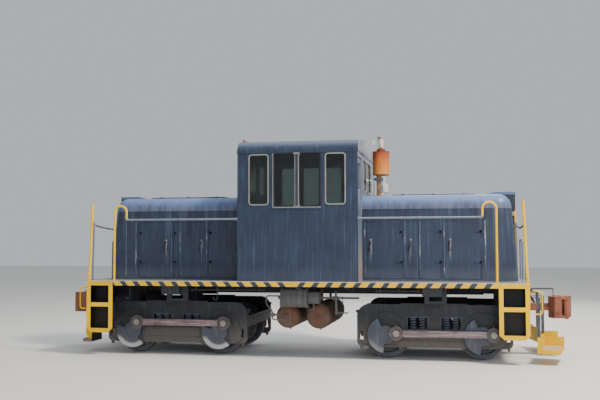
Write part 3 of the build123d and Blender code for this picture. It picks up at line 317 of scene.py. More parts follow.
bands = add("Mix", yellowHere, add("Mix", wornOff, "#1d222c", "#3d4554"), yellowTone)
# a pale band along the plate's upper edge, from 20 to 6 mm below the top
lip = add("MapRange", axes.outputs[2], deckTop - 0.02, deckTop - 0.006, 0.0, 0.85)
lipped = add("Mix", lip, bands, "#c4beb5")
share = add("Math MULTIPLY", striped, kept)
setInputs(shader, {"Base Color": add("Mix", share, painted, lipped)})

# Corner steps: yellow on the outward faces only; inside, dark boot-worn steel made darker still as painted
# shade.
stepPaint, add, shader, place, painted = weatheredPaint("stepPaintYellowOutside", yellowPaintLook)
setInputs(shader, {"Specular IOR Level": 0.2})
axes = add("SeparateXYZ", place)
depth = add("Math ABSOLUTE", axes.outputs[1])
outer = add("MapRange", depth, deckSide - 0.014, deckSide - 0.011)
darkSteelAndShade = add("Mix", add("TexNoise", place, Scale=34.0, Detail=8.0, Roughness=0.7), "#0c0c0d", "#35322e")
# the upper bay, under the deck, is painted near-black as shade
bayToneShaded = add("Mix", add("MapRange", axes.outputs[2], rail + 0.94, rail + 0.99, 0.0, 0.8), darkSteelAndShade, "#060606")
setInputs(shader, {"Base Color": add("Mix", outer, bayToneShaded, painted)})

# Forged wheels and cranks: near-black oxide, oily centres, bright rolled treads, and whitewashed counterweight
# rims.
wheelSteel, add, shader, place, painted = weatheredPaint("wheelSteelForged", dict(blackPaintLook,
    color="#4d5566", deep="#272b34", bleach="#747d8e", dust=0.15, rustFrom=0.6, roughness=0.5))
axes = add("SeparateXYZ", place)
axleSpan = add("Math SUBTRACT", add("Math ABSOLUTE", axes.outputs[0]), bogieX)
fromAxle = add("Math SUBTRACT", add("Math ABSOLUTE", axleSpan), halfBase)
aboveAxle = add("Math SUBTRACT", axes.outputs[2], axleHeight)
radius = add("VectorMath LENGTH", add("CombineXYZ", fromAxle, 0.0, aboveAxle))
across = add("Math ABSOLUTE", axes.outputs[1])
onTread = add("MapRange", radius.outputs["Value"], 0.409, 0.4135)
tread = add("Math MULTIPLY", onTread, add("Math LESS_THAN", across, 0.9))
smear = add("TexNoise", place, Scale=13.0, Detail=8.0, Roughness=0.7)
lowPart = add("MapRange", add("Math MULTIPLY_ADD", smear, 0.2, aboveAxle), 0.02, -0.06, 0.0, 0.85)
rimPart = add("MapRange", radius.outputs["Value"], 0.225, 0.262)
whitewash = add("Math MULTIPLY", lowPart, add("Math GREATER_THAN", across, 0.99))
whitewash = add("Math MULTIPLY", whitewash, rimPart)
# the left bogie has kept its whitewash, the right one has lost it outward
whitewash = add("Math MULTIPLY", whitewash, add("MapRange", axes.outputs[0], -1.5, 2.6, 1.0, 0.0))
bright = add("Mix", tread, add("Mix", whitewash, painted, add("Mix", smear, "#8f9296", "#d2d2cc")), "#9b9a96")
setInputs(shader, {"Base Color": bright, "Metallic": tread})
setInputs(shader, {"Roughness": add("MapRange", tread, 0.0, 1.0, 0.6, 0.22)})

# Exhaust: mild steel burnt by heat. Tan lower pipe, orange-brown silencer reddening to its top, silver
# painted tail pipe with a rust ring, red oxide rain flap.
exhaustSteel, add, shader, place, painted = weatheredPaint("exhaustSteelHeatBurnt", dict(rustSteelLook,
    topShare=0.2, dust=0.0, rust=0.0))
axes = add("SeparateXYZ", place)
flame = add("TexNoise", add("Mapping", place, Scale=(26.0, 26.0, 5.0)), Scale=1.0, Detail=7.0, Roughness=0.68)
ragged = add("Math MULTIPLY_ADD", flame, 0.1, axes.outputs[2])
zones = add("ValToRGB", add("MapRange", ragged, 2.95, 4.2))
zones.color_ramp.interpolation = "LINEAR"
# pipe tan, joint dark, silencer orange to red-brown, flange rust, tail silver, flap red
for spot, code in ((0.0, "#b98d5c"), (0.26, "#c39a68"), (0.3, "#8f8a80"), (0.36, "#c98a48"), (0.45, "#d98a3e"),
    (0.6, "#cd7434"), (0.72, "#a8482a"), (0.765, "#7e3d28"), (0.8, "#8a5a44"), (0.82, "#c9c7c0"),
    (0.93, "#d7d6d0"), (0.955, "#a9705a"), (1.0, "#b04a34")):
    stop = zones.color_ramp.elements.new(spot)
    stop.color = linearColor(code)
zones.color_ramp.elements.remove(zones.color_ramp.elements[-1])
setInputs(shader, {"Base Color": add("Mix", add("MapRange", flame, 0.45, 0.75, 0.0, 0.45), zones, "#6b3a24")})
print("special paints ready")

# Natural anodised aluminium window section: dull satin, grey runs where water stands. The middle windows are
# brushed over with the cab's dark paint, but for their left edge, foot and meeting bars, which stay pale.
aluminium, add, shader, place = newMaterial("aluminiumAnodised", {"Metallic": 0.75, "Specular IOR Level": 0.5})
runs = add("TexNoise", add("Mapping", place, Scale=(60.0, 60.0, 6.0)), Scale=1.0, Detail=5.0)
tone = add("Mix", runs, "#7d7e79", "#bdbcb5")
frameSpot = add("SeparateXYZ", place)
nearMiddle = add("Math LESS_THAN", add("Math ABSOLUTE", frameSpot.outputs[0]), 0.462)
offMiddle = add("Math GREATER_THAN", add("Math ABSOLUTE", frameSpot.outputs[0]), 0.06)
offLeft = add("Math GREATER_THAN", frameSpot.outputs[0], -0.43)
offFoot = add("Math GREATER_THAN", frameSpot.outputs[2], rail + 2.702)
brushedOver = nearMiddle
for away in (offMiddle, offLeft, offFoot):
    brushedOver = add("Math MULTIPLY", brushedOver, away)
frameTone = add("Mix", brushedOver, tone, "#1c222e")
setInputs(shader, {"Base Color": frameTone, "Metallic": add("MapRange", brushedOver, 0.0, 1.0, 0.75, 0.0)})
satin = add("MapRange", runs, 0.0, 1.0, 0.32, 0.62)
setInputs(shader, {"Roughness": satin, "Normal": add("Bump", Height=runs, Strength=0.15, Distance=0.001)})

# Rolled window glass, 6 mm and green-grey, with a dusty film in patches that dull its mirror.
glass, add, shader, place = newMaterial("glassWindowDusty", {"IOR": 1.5, "Roughness": 0.03,
    "Transmission Weight": 1.0})
film = add("TexNoise", place, Scale=5.0, Detail=9.0, Roughness=0.7)
setInputs(shader, {"Roughness": add("MapRange", film, 0.45, 0.8, 0.02, 0.3)})
tint = add("Mix", film, "#9aa8a2", "#7c8a84")
setInputs(shader, {"Base Color": tint, "Normal": add("Bump", Height=add("TexNoise", place, Scale=3.0),
    Strength=0.05, Distance=0.004)})

# Pressed lamp lens, 6 mm and clear, with upright flutes 12 mm wide that smear the bulbs behind it.
lampGlass, add, shader, place = newMaterial("glassLampFluted", {"IOR": 1.5, "Transmission Weight": 1.0})
flutes = add("TexWave", place, Scale=13.0, Distortion=0.0, wave_type="BANDS", bands_direction="Y")
setInputs(shader, {"Normal": add("Bump", Height=flutes.outputs["Fac"], Strength=0.25, Distance=0.004)})
mottle(add, shader, add("TexNoise", place, Scale=22.0, Detail=5.0), ("#f2f4f2", "#d9ddda"), (0.02, 0.16))

# Extruded black rubber, greyed by sun.
rubber, add, shader, place = newMaterial("rubberExtruded", {"IOR": 1.52})
bloom = add("TexNoise", place, Scale=80.0, Detail=4.0)
mottle(add, shader, bloom, ("#141414", "#34363a"), (0.6, 0.85))
setInputs(shader, {"Normal": add("Bump", Height=bloom, Strength=0.2, Distance=0.001)})

# Bright steel hardware: zinc plated bolts, chain and pins, patchy with grey oxide and a little rust.
zincSteel, add, shader, place = newMaterial("zincSteelHardware", {"Metallic": 0.85})
oxide = add("TexNoise", place, Scale=90.0, Detail=6.0, Roughness=0.7)
tarnish = add("MapRange", add("TexNoise", place, Scale=30.0, Detail=5.0), 0.56, 0.7, 0.0, 0.7)
mottle(add, shader, oxide, ("#6f6d68", "#b5b2aa"), (0.35, 0.7))
grey = shader.inputs["Base Color"].links[0].from_socket
setInputs(shader, {"Base Color": add("Mix", tarnish, grey, "#6b4630"), "Normal": add("Bump", Height=oxide,
    Strength=0.3, Distance=0.001)})

# Black vinyl upholstery: embossed pebble grain about 1 mm, drawn at 3 mm so that it shows, greyed where it is
# sat on.
vinyl, add, shader, place = newMaterial("vinylUpholstery", {"IOR": 1.52, "Coat Weight": 0.08})
mottle(add, shader, add("TexNoise", place, Scale=9.0, Detail=5.0), ("#15120f", "#453d36"), (0.35, 0.62))
pebble = add("TexVoronoi", place, Scale=330.0, feature="SMOOTH_F1")
setInputs(shader, {"Normal": add("Bump", Height=pebble, Strength=0.35, Distance=0.001)})

# Spun aluminium lamp bowl, bright with fine turning rings 1 mm apart, drawn at 4 mm.
lampBowl, add, shader, place = newMaterial("lampBowlSpunAluminium", {"Metallic": 1.0})
rings = add("TexWave", place, Scale=40.0, Distortion=1.0, Detail=1.0, wave_type="BANDS", bands_direction="X")
mottle(add, shader, rings.outputs["Fac"], ("#c4c6c8", "#eef0f0"), (0.08, 0.2))

# Pressed ivory dial faces with printed ticks, under small glasses.
dialFace, add, shader, place = newMaterial("dialFacePrinted", {"IOR": 1.5, "Roughness": 0.45})
mottle(add, shader, add("TexNoise", place, Scale=120.0, Detail=3.0), ("#d8d0b8", "#efe9d6"))

# Copper alloy fittings: brass and bronze bushes, brown with green in the corners.
brass, add, shader, place = newMaterial("brassFittings", {"Metallic": 1.0})
mottle(add, shader, add("TexNoise", place, Scale=60.0, Detail=5.0), ("#6d5226", "#b8924a"), (0.3, 0.6))
print("materials ready")


# Adds a closed box between two corners, with rounded edges if asked.
def addBlock(bm, low, high, bevel=0.0, mat=0, turn=None):
    low, high = Vector(low), Vector(high)
    size = Vector([abs(high[i] - low[i]) for i in range(3)])
    place = Matrix.Translation((low + high) / 2) @ Matrix.Diagonal((*size, 1.0))
    if turn:
        place = turn @ place
    made = bmesh.ops.create_cube(bm, size=1.0, matrix=place)["verts"]
    faces = {face for vert in made for face in vert.link_faces}
    for face in faces:
        face.material_index = mat
    if bevel:
        edges = list({edge for face in faces for edge in face.edges})
        bmesh.ops.bevel(bm, geom=edges, offset=min(bevel, min(size) * 0.45), segments=2, profile=0.6,
            affect="EDGES", clamp_overlap=True, material=-1)


# Sweeps a round section along points; radius may be one number or one for each point.
def addTube(bm, points, radius, sidesRound=10, closed=False, mat=0):
    points = [Vector(p) for p in points]
    count = len(points)
    rings = []
    normal = None
    for i, point in enumerate(points):
        before = points[i - 1] if i or closed else point
        after = points[(i + 1) % count] if i < count - 1 or closed else point
        along = (after - before).normalized()
        if normal is None:
            guess = Vector((0, 0, 1)) if abs(along.z) < 0.9 else Vector((1, 0, 0))
            normal = along.cross(guess).normalized()
        normal = (normal - along * normal.dot(along)).normalized()
        other = along.cross(normal)
        r = radius[i] if isinstance(radius, (list, tuple)) else radius
        rings.append([bm.verts.new(point + normal * r * cos(2 * pi * k / sidesRound)
            + other * r * sin(2 * pi * k / sidesRound)) for k in range(sidesRound)])
    spans = range(count if closed else count - 1)
    for i in spans:
        one, two = rings[i], rings[(i + 1) % count]
        shift = 0
        if closed and i == count - 1:
            shift = min(range(sidesRound), key=lambda s: (two[s].co - one[0].co).length)
        for k in range(sidesRound):
            n = (k + 1) % sidesRound
            face = bm.faces.new((one[k], one[n], two[(n + shift) % sidesRound], two[(k + shift) % sidesRound]))
            face.material_index = mat
    if not closed:
        for ring in (rings[0], rings[-1]):
            bm.faces.new(ring).material_index = mat


# Turns a profile of (radius, distance along) pairs round an axis, as on a lathe.
def addTurned(bm, profile, centre, axis, segments=24, mat=0, start=0.0):
    centre, axis = Vector(centre), Vector(axis).normalized()
    side = axis.cross(Vector((0, 0, 1)) if abs(axis.z) < 0.9 else Vector((1, 0, 0))).normalized()
    other = axis.cross(side)
    rings = []
    for r, along in profile:
        if r < 1e-6:
            rings.append([bm.verts.new(centre + axis * along)])
        else:
            rings.append([bm.verts.new(centre + axis * along + (side * cos(start + 2 * pi * k / segments)
                + other * sin(start + 2 * pi * k / segments)) * r) for k in range(segments)])
    for one, two in zip(rings, rings[1:]):
        if len(one) == 1 and len(two) == 1:
            continue
        for k in range(segments):
            n = (k + 1) % segments
            corners = [one[k % len(one)], one[n % len(one)], two[n % len(two)], two[k % len(two)]]
            unique = []
            for corner in corners:
                if corner not in unique:
                    unique.append(corner)
            bm.faces.new(unique).material_index = mat
    for ring in (rings[0], rings[-1]):
        if len(ring) > 1:
            bm.faces.new(ring).material_index = mat


# Pushes a flat outline of points along a vector into a solid plate.
def addPlate(bm, outline, push, mat=0):
    push = Vector(push)
    low = [bm.verts.new(Vector(p)) for p in outline]
    high = [bm.verts.new(Vector(p) + push) for p in outline]
    bm.faces.new(low).material_index = mat
    bm.faces.new(high).material_index = mat
    for i in range(len(low)):
        n = (i + 1) % len(low)
        bm.faces.new((low[i], low[n], high[n], high[i])).material_index = mat


# Hexagon bolt head on a washer, standing on a surface point.
def addBolt(bm, spot, normal, width=0.024, mat=0):
    addTurned(bm, [(width * 0.68, 0.0), (width * 0.68, width * 0.1), (width * 0.58, width * 0.12)], spot,
        normal, 12, mat)
    addTurned(bm, [(width * 0.5, width * 0.1), (width * 0.5, width * 0.52), (width * 0.4, width * 0.62),
        (0.0, width * 0.62)], spot, normal, 6, mat, start=0.3)


# Bolts in a circle about a point, square to one of the three axes.
def addBoltCircle(bm, centre, axis, radius, count, width, mat=0, start=0.0):
    one, two = [Vector([float(i == k) for i in range(3)]) for k in range(3) if not axis[k]]
    for k in range(count):
        a = start + 2 * pi * k / count
        addBolt(bm, Vector(centre) + (one * cos(a) + two * sin(a)) * radius, axis, width, mat)


# Section of a turned band, with both its edges sloped.
def bandForm(inner, outer, low, high, slope=0.002):
    return [(inner, low), (outer, low + slope), (outer, high - slope), (inner, high)]


# Round rivet head.
def addRivet(bm, spot, normal, width=0.018, mat=0):
    addTurned(bm, [(width * 0.5, 0.0), (width * 0.46, width * 0.16), (width * 0.28, width * 0.3),
        (0.0, width * 0.34)], spot, normal, 8, mat)


# Points along a straight run with rounded corners.
def roundedPath(corners, bend, steps=5):
    corners = [Vector(c) for c in corners]
    path = [corners[0]]
    for before, corner, after in zip(corners, corners[1:], corners[2:]):
        incoming, outgoing = (before - corner), (after - corner)
        reach = min(bend, incoming.length * 0.49, outgoing.length * 0.49)
        one, two = corner + incoming.normalized() * reach, corner + outgoing.normalized() * reach
        for i in range(steps + 1):
            t = i / steps
            path.append(one * (1 - t) ** 2 + corner * 2 * t * (1 - t) + two * t ** 2)
    path.append(corners[-1])
    return path


# Rounded rectangle of points in the plane of two directions.
def roundedLoop(centre, acrossDir, upDir, width, height, corner, steps=5):
    centre, acrossDir, upDir = Vector(centre), Vector(acrossDir), Vector(upDir)
    loop = []
    for sx, sy, turn in ((1, 1, 0), (-1, 1, 90), (-1, -1, 180), (1, -1, 270)):
        for i in range(steps + 1):
            a = radians(turn + 90 * i / steps)
            loop.append(centre + acrossDir * (sx * (width / 2 - corner) + corner * cos(a))
                + upDir * (sy * (height / 2 - corner) + corner * sin(a)))
    return loop


# Puts data into the scene as an object.
def addObject(name, data):
    thing = bpy.data.objects.new(name, data)
    bpy.context.scene.collection.objects.link(thing)
    return thing


# Turns a finished form into an object.
def addForm(name, bm):
    mesh = bpy.data.meshes.new(name)
    bm.to_mesh(mesh)
    bm.free()
    return addObject(name, mesh)


# Makes the piece's object, smooths round faces, gives it its finishes and its body.
def makePiece(name, bm, materials, body):
    bmesh.ops.recalc_face_normals(bm, faces=bm.faces[:])
    piece = addForm(name, bm)
    for face in piece.data.polygons:
        face.use_smooth = True
    piece.data.set_sharp_from_angle(angle=radians(32))
    for material in materials:
        piece.data.materials.append(material)
    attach(piece, body)
    return piece


# CAD nodes take their finishes by the start of their names.
finishes = {"underframe": blackPaint, "deck": sillPaint, "corner_steps": stepPaint, "footboards": boardPaint,
    "cab_side": bluePaint, "cab_end": sunlitEndPaint, "cab_door": sunlitEndPaint, "cab_roof": roofPaint,
    "window_frames": aluminium, "window_glass": glass, "hood_": hoodPaint, "radiators": blackPaint,
    "headlights": lampPaint, "headlight_glass": lampGlass, "exhaust_stacks": exhaustSteel, "bell": silverPaint,
    "yellow_rails": yellowPaint, "handrails": greyPaint, "end_chains": blackPaint, "couplers": castRust,
    "knuckle": castRust, "cut_levers": leverPaint, "end_air_pipes": blackPaint, "reservoirs": rustSteel,
    "brake_cylinder": dustyPaint, "engines": enginePaint, "control_stand": cabPaint, "seat": vinyl,
    "bogie_frame": blackPaint, "motor": blackPaint, "springs": blackPaint, "wheelset": wheelSteel,
    "side_rod": rodSteel}
for nodeName, piece in nodes.items():
    piece.data.materials.clear()
    piece.data.materials.append(next(finishes[start] for start in finishes if nodeName.startswith(start)))
print("CAD nodes dressed")

# Helical springs of round bar, closed and ground at both ends, standing in the side plates' openings.
coil = {"wire": 0.0125, "radius": 0.049, "turns": 4.6, "stepsRound": 14}
springLow, springHigh = rail + 0.52, rail + 0.725
openingSpans = ((-0.456, -0.112), (0.134, 0.471))
for end, endName in ends:
    bm = bmesh.new()
    for a, b in openingSpans:
        for share in (0.27, 0.73):
            for side in (-1, 1):
                x, y = end * bogieX + a + (b - a) * share, side * 0.94
                steps = int(coil["turns"] * coil["stepsRound"])
                low, high = springLow + 0.012 + coil["wire"], springHigh - 0.012 - coil["wire"]
                points = []
                for i in range(steps + 1):
                    t = i / steps
                    # the end turns lie flat
                    climb = min(1.0, max(0.0, (t - 0.12) / 0.76))
                    angle = 2 * pi * coil["turns"] * t
                    points.append((x + coil["radius"] * cos(angle), y + coil["radius"] * sin(angle),
                        low + (high - low) * climb))
                addTube(bm, points, coil["wire"], 8)
                addTurned(bm, [(0.058, 0.0), (0.058, 0.011), (0.02, 0.012), (0.02, 0.03)], (x, y, springLow),
                    (0, 0, 1), 20)
                addTurned(bm, [(0.058, 0.0), (0.058, 0.011), (0.02, 0.012), (0.02, 0.03)], (x, y, springHigh),
                    (0, 0, -1), 20)
    springs = makePiece("coilSprings_" + endName, bm, [springPaint], "bogie_" + endName)
    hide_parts("springs_" + endName)
print("springs")

# End chains: welded round-bar links, each turned a quarter from its neighbours, along the hanging line.
chain = {"wire": 0.006, "long": 0.052, "wide": 0.034}
wire, linkLong, linkWide = chain["wire"], chain["long"] - 2 * chain["wire"], chain["wide"] - 2 * chain["wire"]
for end, endName in ends:
    bm = bmesh.new()
    low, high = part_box("end_chains")
    topZ, sag, reach = high.z - 0.004, high.z - low.z - 0.016, high.y - 0.002
    x = end * (deckEnd - 0.055)
    line = [Vector((x, y, topZ - sag * (1 - (y / 1.24) ** 2))) for y in [reach * (i / 60 - 1)
        for i in range(121)]]
    pitch = linkLong - 0.2 * wire
    spots, gone = [line[0]], 0.0
    for one, two in zip(line, line[1:]):
        gone += (two - one).length
        if gone >= pitch:
            spots.append(two)
            gone = 0.0
    for i, (one, two) in enumerate(zip(spots, spots[1:])):
        along = (two - one).normalized()
        flatWay = Vector((1, 0, 0)) if i % 2 else Vector((0, 0, 1))
        sideWay = (flatWay - along * flatWay.dot(along)).normalized()
        loop = roundedLoop((one + two) / 2, along, sideWay, linkLong, linkWide, linkWide / 2 - 0.0005, 3)
        addTube(bm, loop, wire, 6, closed=True)
    chainPiece = makePiece("endChain_" + endName, bm, [blackPaint], "locomotive")
    if end > 0:
        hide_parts("end_chains")
print("chains")


# Seat: turned pedestal, and two sewn vinyl cushions swollen by cloth pressure.
seat = {"middle": (0.0, -0.76), "padTop": deckTop + 0.7, "padThick": 0.088, "padWidth": 0.45, "padDepth": 0.385,
    "backHigh": 0.41, "backThick": 0.064, "cornerRound": 0.06, "puff": 4.0, "cap": 0.012}


def addCushion(name, size, place):
    bm = bmesh.new()
    bmesh.ops.create_cube(bm, size=1.0, matrix=Matrix.Diagonal((*size, 1.0)))
    uprights = [e for e in bm.edges if abs(e.verts[0].co.x - e.verts[1].co.x) < 1e-6 and abs(e.verts[0].co.y
        - e.verts[1].co.y) < 1e-6]
    bmesh.ops.bevel(bm, geom=uprights, offset=seat["cornerRound"], segments=5, profile=0.5, affect="EDGES")
    rims = [e for e in bm.edges if abs(e.verts[0].co.z - e.verts[1].co.z) < 1e-6 and abs(abs(e.verts[0].co.z)
        - size[2] / 2) < 1e-5 and len(e.link_faces) == 2]
    bmesh.ops.bevel(bm, geom=rims, offset=0.014, segments=3, profile=0.5, affect="EDGES")
    cushion = addForm(name, bm)
    bpy.context.view_layer.objects.active = cushion
    remesh = cushion.modifiers.new("remesh", "REMESH")
    remesh.mode, remesh.voxel_size = "VOXEL", 0.009
    bpy.ops.object.modifier_apply(modifier="remesh")
    start = [v.co.copy() for v in cushion.data.vertices]
    cloth = cushion.modifiers.new("cloth", "CLOTH")
    cloth.settings.use_pressure = True
    cloth.settings.uniform_pressure_force = seat["puff"]
    cloth.settings.effector_weights.gravity = 0.0
    cloth.settings.quality = 5
    for step in range(1, 21):
        bpy.context.scene.frame_set(step)
    bpy.ops.object.modifier_apply(modifier="cloth")
    bpy.context.scene.frame_set(1)
    half = Vector(size) / 2
    for vert, before in zip(cushion.data.vertices, start):
        moved = vert.co - before
        if moved.length > seat["cap"]:
            vert.co = before + moved.normalized() * seat["cap"]
        # crown the middle, draw in a welt round the edge and two sewn channels across the top
        u, v = before.x / half.x, before.y / half.y
        dome = max(0.0, 1 - u * u) * max(0.0, 1 - v * v)
        channel = sum(0.006 * max(0.0, 1 - abs(before.y - spot * half.y) / 0.012) for spot in (-0.34, 0.34))
        if before.z > 0:
            vert.co.z += 0.01 * dome - channel * min(1.0, dome * 6)
        welt = max(0.0, 1 - abs(before.z - half.z * 0.35) / 0.009)
        vert.co.x -= 0.004 * welt * (1 if before.x > 0 else -1) * (abs(u) > 0.85)
        vert.co.y -= 0.004 * welt * (1 if before.y > 0 else -1) * (abs(v) > 0.85)
    for face in cushion.data.polygons:
        face.use_smooth = True
    cushion.matrix_world = place
    soft = cushion.modifiers.new("soft", "SUBSURF")
    soft.levels = soft.render_levels = 1
    cushion.data.materials.append(vinyl)
    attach(cushion, "locomotive")


seatX, seatY = seat["middle"]
addCushion("seatPad", (seat["padWidth"] - 0.02, seat["padDepth"] + 0.05, seat["padThick"] - 0.024),
    Matrix.Translation((seatX, seatY + 0.005, seat["padTop"] - seat["padThick"] / 2)))
backTilt = Matrix.Translation((seatX, seatY - 0.195, seat["padTop"] + 0.21)) @ Matrix.Rotation(radians(-90), 4,
    "X")
addCushion("seatBack", (seat["padWidth"] - 0.02, seat["backHigh"] - 0.03, seat["backThick"] - 0.024), backTilt)
bm = bmesh.new()
addTurned(bm, [(0.0, 0.0), (0.17, 0.0), (0.17, 0.008), (0.06, 0.022), (0.045, 0.05), (0.045, 0.36), (0.052,
    0.37), (0.052, 0.39), (0.032, 0.4), (0.032, 0.585), (0.0, 0.585)], (seatX, seatY, deckTop), (0, 0, 1), 28)
addBlock(bm, (seatX - 0.15, seatY - 0.15, deckTop + 0.585), (seatX + 0.15, seatY + 0.15, deckTop + 0.6), 0.004)
addBoltCircle(bm, (seatX, seatY, deckTop + 0.008), (0, 0, 1), 0.14, 6, 0.018, 1)
for side in (-1, 1):
    addTube(bm, roundedPath([(seatX + side * 0.1, seatY, deckTop + 0.605), (seatX + side * 0.1, seatY - 0.212,
        deckTop + 0.605), (seatX + side * 0.1, seatY - 0.222, deckTop + 0.98)], 0.05), 0.008, 8)
addTube(bm, [(seatX + 0.04, seatY, deckTop + 0.42), (seatX + 0.16, seatY + 0.02, deckTop + 0.43)], 0.007, 8,
    mat=1)
pedestal = makePiece("seatPedestal", bm, [blackPaint, zincSteel], "locomotive")
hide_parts("seat")
print("seat")

# A strip on the hood side that the loop is at: its two ends along x, its thickness and its two heights.
def addStrip(x0, x1, thick, z0, z1, bevel=0.001, mat=0):
    y = side * hoodSide
    addBlock(bm, (end * x0, y, z0), (end * x1, y + side * thick, z1), bevel, mat)


# Hood doors: a cover strip down the free edge, a latch with its knob and drop handle, strap hinges with bolts.
doorTrim = {"first": cabEnd + 0.035, "pitch": 0.706, "gap": 0.022, "low": deckTop + 0.039, "high": rail + 2.448,
    "stripWidth": 0.015, "stripThick": 0.003, "handleInset": 0.12, "handleHigh": rail + 2.1,
    "hingeHeights": (0.296, 0.846), "batten": {"right": (2.128, 2.158), "left": (2.404, 2.434)}}
# Pale strips: worn paint on door edges and seams, and the painted highlight on the battens' right halves
paleStripWornAndLit = weatheredPaint("paleStripWornAndHighlit", dict(bluePaintLook, color="#566379", deep="#374259",
    bleach="#b9bdc6", streakScale=(30.0, 30.0, 3.0), streakFrom=0.5, streakTo=0.66, streaks=0.8))[0]
latchSteel = weatheredPaint("latchSteelRubbed", dict(greyPaintLook, color="#7f8790", deep="#4c5158",
    bleach="#c9ccd0", streaks=0.7, roughness=0.42))[0]
for end, endName in ends:
    for side, sideName in sides:
        for number in range(3):
            inner = doorTrim["first"] + number * doorTrim["pitch"]
            hinge = inner + doorTrim["pitch"]
            start = inner + (doorTrim["gap"] if number else 0.0)
            free = start + 0.005
            low, high, y = doorTrim["low"], doorTrim["high"], side * hoodSide
            out = Vector((0, side, 0))
            bm = bmesh.new()
            addStrip(free + 0.002, free + 0.002 + doorTrim["stripWidth"], doorTrim["stripThick"], low, high,
                mat=1)
            addStrip(hinge - 0.036, hinge - 0.008, 0.0025, low, high)
            for z in (low, high - 0.026):
                addStrip(free + 0.034, hinge - 0.04, 0.0022, z, z + 0.026)
            handleX = start + doorTrim["handleInset"]
            top = doorTrim["handleHigh"]
            # the latch plate, its bright knob on top, and the drop handle hanging straight down
            addStrip(handleX - 0.03, handleX + 0.03, 0.0035, top - 0.105, top + 0.04, 0.002)
            for bz in (-0.092, 0.028):
                for bx in (-0.021, 0.021):
                    addRivet(bm, (end * (handleX + bx), y + side * 0.0035, top + bz), out, 0.011)
            addTurned(bm, [(0.021, 0.003), (0.023, 0.01), (0.018, 0.02), (0.008, 0.026), (0.0, 0.027)],
                (end * handleX, y, top), out, 18, 2)
            addTube(bm, roundedPath([(end * handleX, y + side * 0.018, top - 0.006), (end * handleX - 0.006,
                y + side * 0.036, top - 0.03), (end * handleX - 0.026, y + side * 0.034, top - 0.15),
                (end * handleX - 0.034, y + side * 0.024, top - 0.185)], 0.02, 3), 0.0085, 8, mat=3)
            for height in doorTrim["hingeHeights"]:
                z = low + height
                addStrip(hinge - 0.14, hinge - 0.012, 0.005, z - 0.02, z + 0.02, 0.002)
                for bx in (0.122, 0.082, 0.045):
                    addBolt(bm, (end * (hinge - bx), y + side * 0.005, z), out, 0.012)
            if number == 1:
                # the batten is two strips: a black left half, its painted shadow, and a pale right half, its
                # painted highlight
                x0, x1 = doorTrim["batten"][endName]
                mid = (x0 + x1) / 2
                battenShadowHalf, battenLitHalf = ((x0, mid), (mid, x1)) if end > 0 else ((mid, x1), (x0, mid))
                addStrip(*battenShadowHalf, 0.0058, low + 0.005, high - 0.005, mat=3)
                addStrip(*battenLitHalf, 0.0066, low + 0.005, high - 0.005, mat=1)
            for k in range(9):
                z = low + 0.05 + k * (high - low - 0.1) / 8
                addRivet(bm, (end * (hinge - 0.022), y + side * 0.0025, z), out, 0.01)
            makePiece(f"hoodDoorTrim_{endName}_{sideName}_{number + 1}", bm, [hoodPaint, paleStripWornAndLit, latchSteel,
                blackPaint], f"hood_door_{endName}_{sideName}_{number + 1}")
print("hood doors")

# Hood sheets: lap seams, rivet rows, the foot angle with its bolts and cross seams over the top.
hoodSeam = {"side": rail + 2.669, "stripEnd": 3.5, "strips": (2.556, 3.31), "crossings": (1.6, 3.205),
    "shoulder": 0.238, "bead": 0.0045}
for end, endName in ends:
    bm = bmesh.new()
    seamZ = hoodSeam["side"]
    for side in (-1, 1):
        y = side * hoodSide
        out = (0, side, 0)
        addStrip(cabEnd + 0.01, hoodSeam["stripEnd"], 0.004, seamZ - 0.007, seamZ + 0.007)
        for x in hoodSeam["strips"]:
            addStrip(x - 0.012, x + 0.012, 0.003, rail + 2.462, seamZ - 0.008)
        addStrip(3.297, 3.323, 0.004, deckTop + 0.02, rail + 2.455, mat=1)
        if end < 0:
            addStrip(3.504, 3.522, 0.003, deckTop + 0.024, rail + 2.455, mat=1)
        addStrip(cabEnd + 0.004, cabEnd + 0.026, 0.004, deckTop + 0.03, hoodTop - 0.26)
        addStrip(cabEnd + 0.01, 3.54, 0.012, deckTop + 0.001, deckTop + 0.022)
        for k in range(24):
            addRivet(bm, (end * (cabEnd + 0.06 + k * 0.1), y, seamZ + 0.02), out, 0.011)
        for k in range(8):
            addRivet(bm, (end * 3.31, y + side * 0.004, deckTop + 0.1 + k * 0.13), out, 0.012)
        for k in range(20):
            addBolt(bm, (end * (cabEnd + 0.1 + k * 0.122), y + side * 0.012, deckTop + 0.011), out, 0.012)
    # bent round the shoulders, just proud of the sheet
    r = hoodSeam["shoulder"]
    for x in hoodSeam["crossings"]:
        bends = [radians(15 * i) for i in range(7)]
        half = [(end * x, -(hoodSide - r + (r + 0.0015) * cos(a)), hoodTop - r + (r + 0.0015) * sin(a))
            for a in bends]
        addTube(bm, half + [(p[0], -p[1], p[2]) for p in reversed(half)], hoodSeam["bead"], 6)
    # the nose's corner seams and the row of bolts across its foot
    for side in (-1, 1):
        for k in range(9):
            z = deckTop + 0.1 + k * 0.145
            addRivet(bm, (end * (deckEnd - 0.13 - 0.126 * (z - deckTop) / (hoodTop - deckTop)), side * 0.6, z),
                (end, 0, 0.08), 0.012)
    makePiece("hoodSeams_" + endName, bm, [hoodPaint, paleStripWornAndLit], "locomotive")
print("hood seams")

